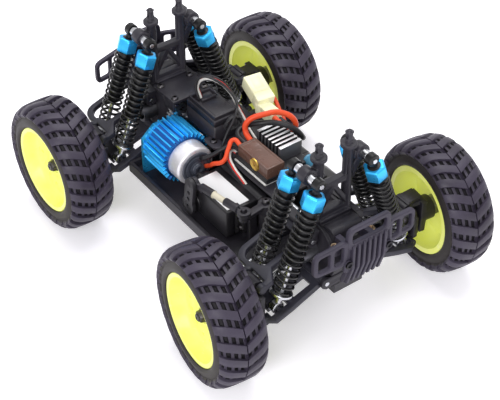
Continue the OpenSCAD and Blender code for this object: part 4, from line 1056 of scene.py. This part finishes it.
routes = (
    ("lead_power_plus", orange, 1.9, [
        (controller_x, 6.4, 11), (-7, 6.4, 15), (-8, 8, 21), (-3, 19, 26), (1, 29, 25), (6, 35, 20),
        (6, 36, 13), (0, 35, 9), (-14, 34.6, 9.4)]),
    ("lead_motor_plus", orange, 1.5, [
        (controller_x, -2.2, 12), (-6.5, -3.5, 13.5), (-4.5, -9, 10), (-2, -14.5, 4.5), (-8.5, -18, -0.5),
        (-14, -17, -6), (bell_x, -17.05, -10)]),
    ("lead_pack_plus", orange, 1.5, [
        (-38, pack_y - 2, 17), (-44, pack_y + 3, 12), (-40, pack_y + 9, 5), (-30, pack_y + 8, -1),
        (-20, pack_y + 5, -6), (-16, pack_y, -9)]),
    ("lead_power_minus", black_lead, 1.9, [
        (controller_x, 1.9, 11), (-10, 2.4, 14), (-11, 9, 16), (-3.5, 15.5, 20), (3, 25, 19.6), (10, 32.5, 16),
        (12, 38, 8), (4, 41, 4), (-6, 40.4, 5), (-14, 38.8, 6.6)]),
    ("lead_motor_minus", black_lead, 1.5, [
        (controller_x, -1.6, 6.9), (-7, -3, 8.4), (-9.5, -10, 7), (-12.5, -15.5, 3), (-16, -19.5, 0),
        (bell_x, -20.05, -2)]),
    ("lead_pack_minus", black_lead, 1.5, [
        (-40, pack_y - 4.5, 16), (-49, pack_y - 1, 12), (-50, pack_y + 5, 3), (-42, pack_y + 6, -5),
        (-34, pack_y + 4, -10), (-30, pack_y, -12)]),
    ("lead_servo", black_lead, 0.9, [
        (-50, 0, 17.4), (-54, 0.5, 27), (-52, 4, 33), (-45, 10, 32), (-37, 15, 26), (-28, 14.5, 22),
        (-22, 10, 21), (-18, 4, 17), (-15, -3, 12), (-13.2, -8, 4), (-12, -9.5, -4), (-10, -10, -11)]),
    *[(f"lead_receiver_{tone}", jacket, 0.9, [
        (x + lean * 1.3, y - lean, up + abs(lean) * 0.4) for x, y, up in receiver_route])
      for tone, jacket, lean in ribbon],
    *[(f"lead_switch_{tone}", jacket, 0.75, [
        (x + lean * 1.1, y + lean * 0.9, up) for x, y, up in switch_route])
      for tone, jacket, lean in ribbon],
    ("lead_spare_coil", black_lead, 0.75, [
        (-20.5 + 0.9 * math.sin(turn * 1.9), 6.0 + (5.6 + 0.7 * math.sin(turn * 0.37)) * math.cos(turn * math.pi / 6),
         13.5 + (4.6 + 0.7 * math.sin(turn * 0.51)) * math.sin(turn * math.pi / 6)) for turn in range(49)]),
)
for name, material, radius, points in routes:
    fit(lead(name, points, radius), "body", material, "wire_jacket", "wiring")
# The ivory nylon emits a little of its own colour as a painted glow, which makes it look brighter.
ivory = plastic("ivory connector nylon", (246, 244, 206), (226, 222, 182), grain=1000, gloss=0.4, lampless_glow=0.14)
plug = block("plug", (-32, 32, shelf + 4), (-14, 41, shelf + 12), 0.5)
for seam in (-26, -18):
    scored(plug, 0, seam, 0.5, 0.4)
shell = block("shell", (-11, -6.5, -5.0), (11, 6.5, 5.0), 0.7)
scored(shell, 0, 4.0, 0.6, 0.5)
sunk(shell, lambda f: f.normal.z > 0.9 and middle(f).x < 3 and f.calc_area() > 60 * MM * MM, 2.2, 0.4, 0.8)
tilt = Matrix.Rotation(math.radians(-8), 4, "Z") @ Matrix.Rotation(math.radians(18), 4, "Y")
settle(shell, spot(-39, 40, shelf + 14) @ tilt)
fit(joined("battery_plug", plug, shell), "body", ivory, "link_plastic", "wiring")
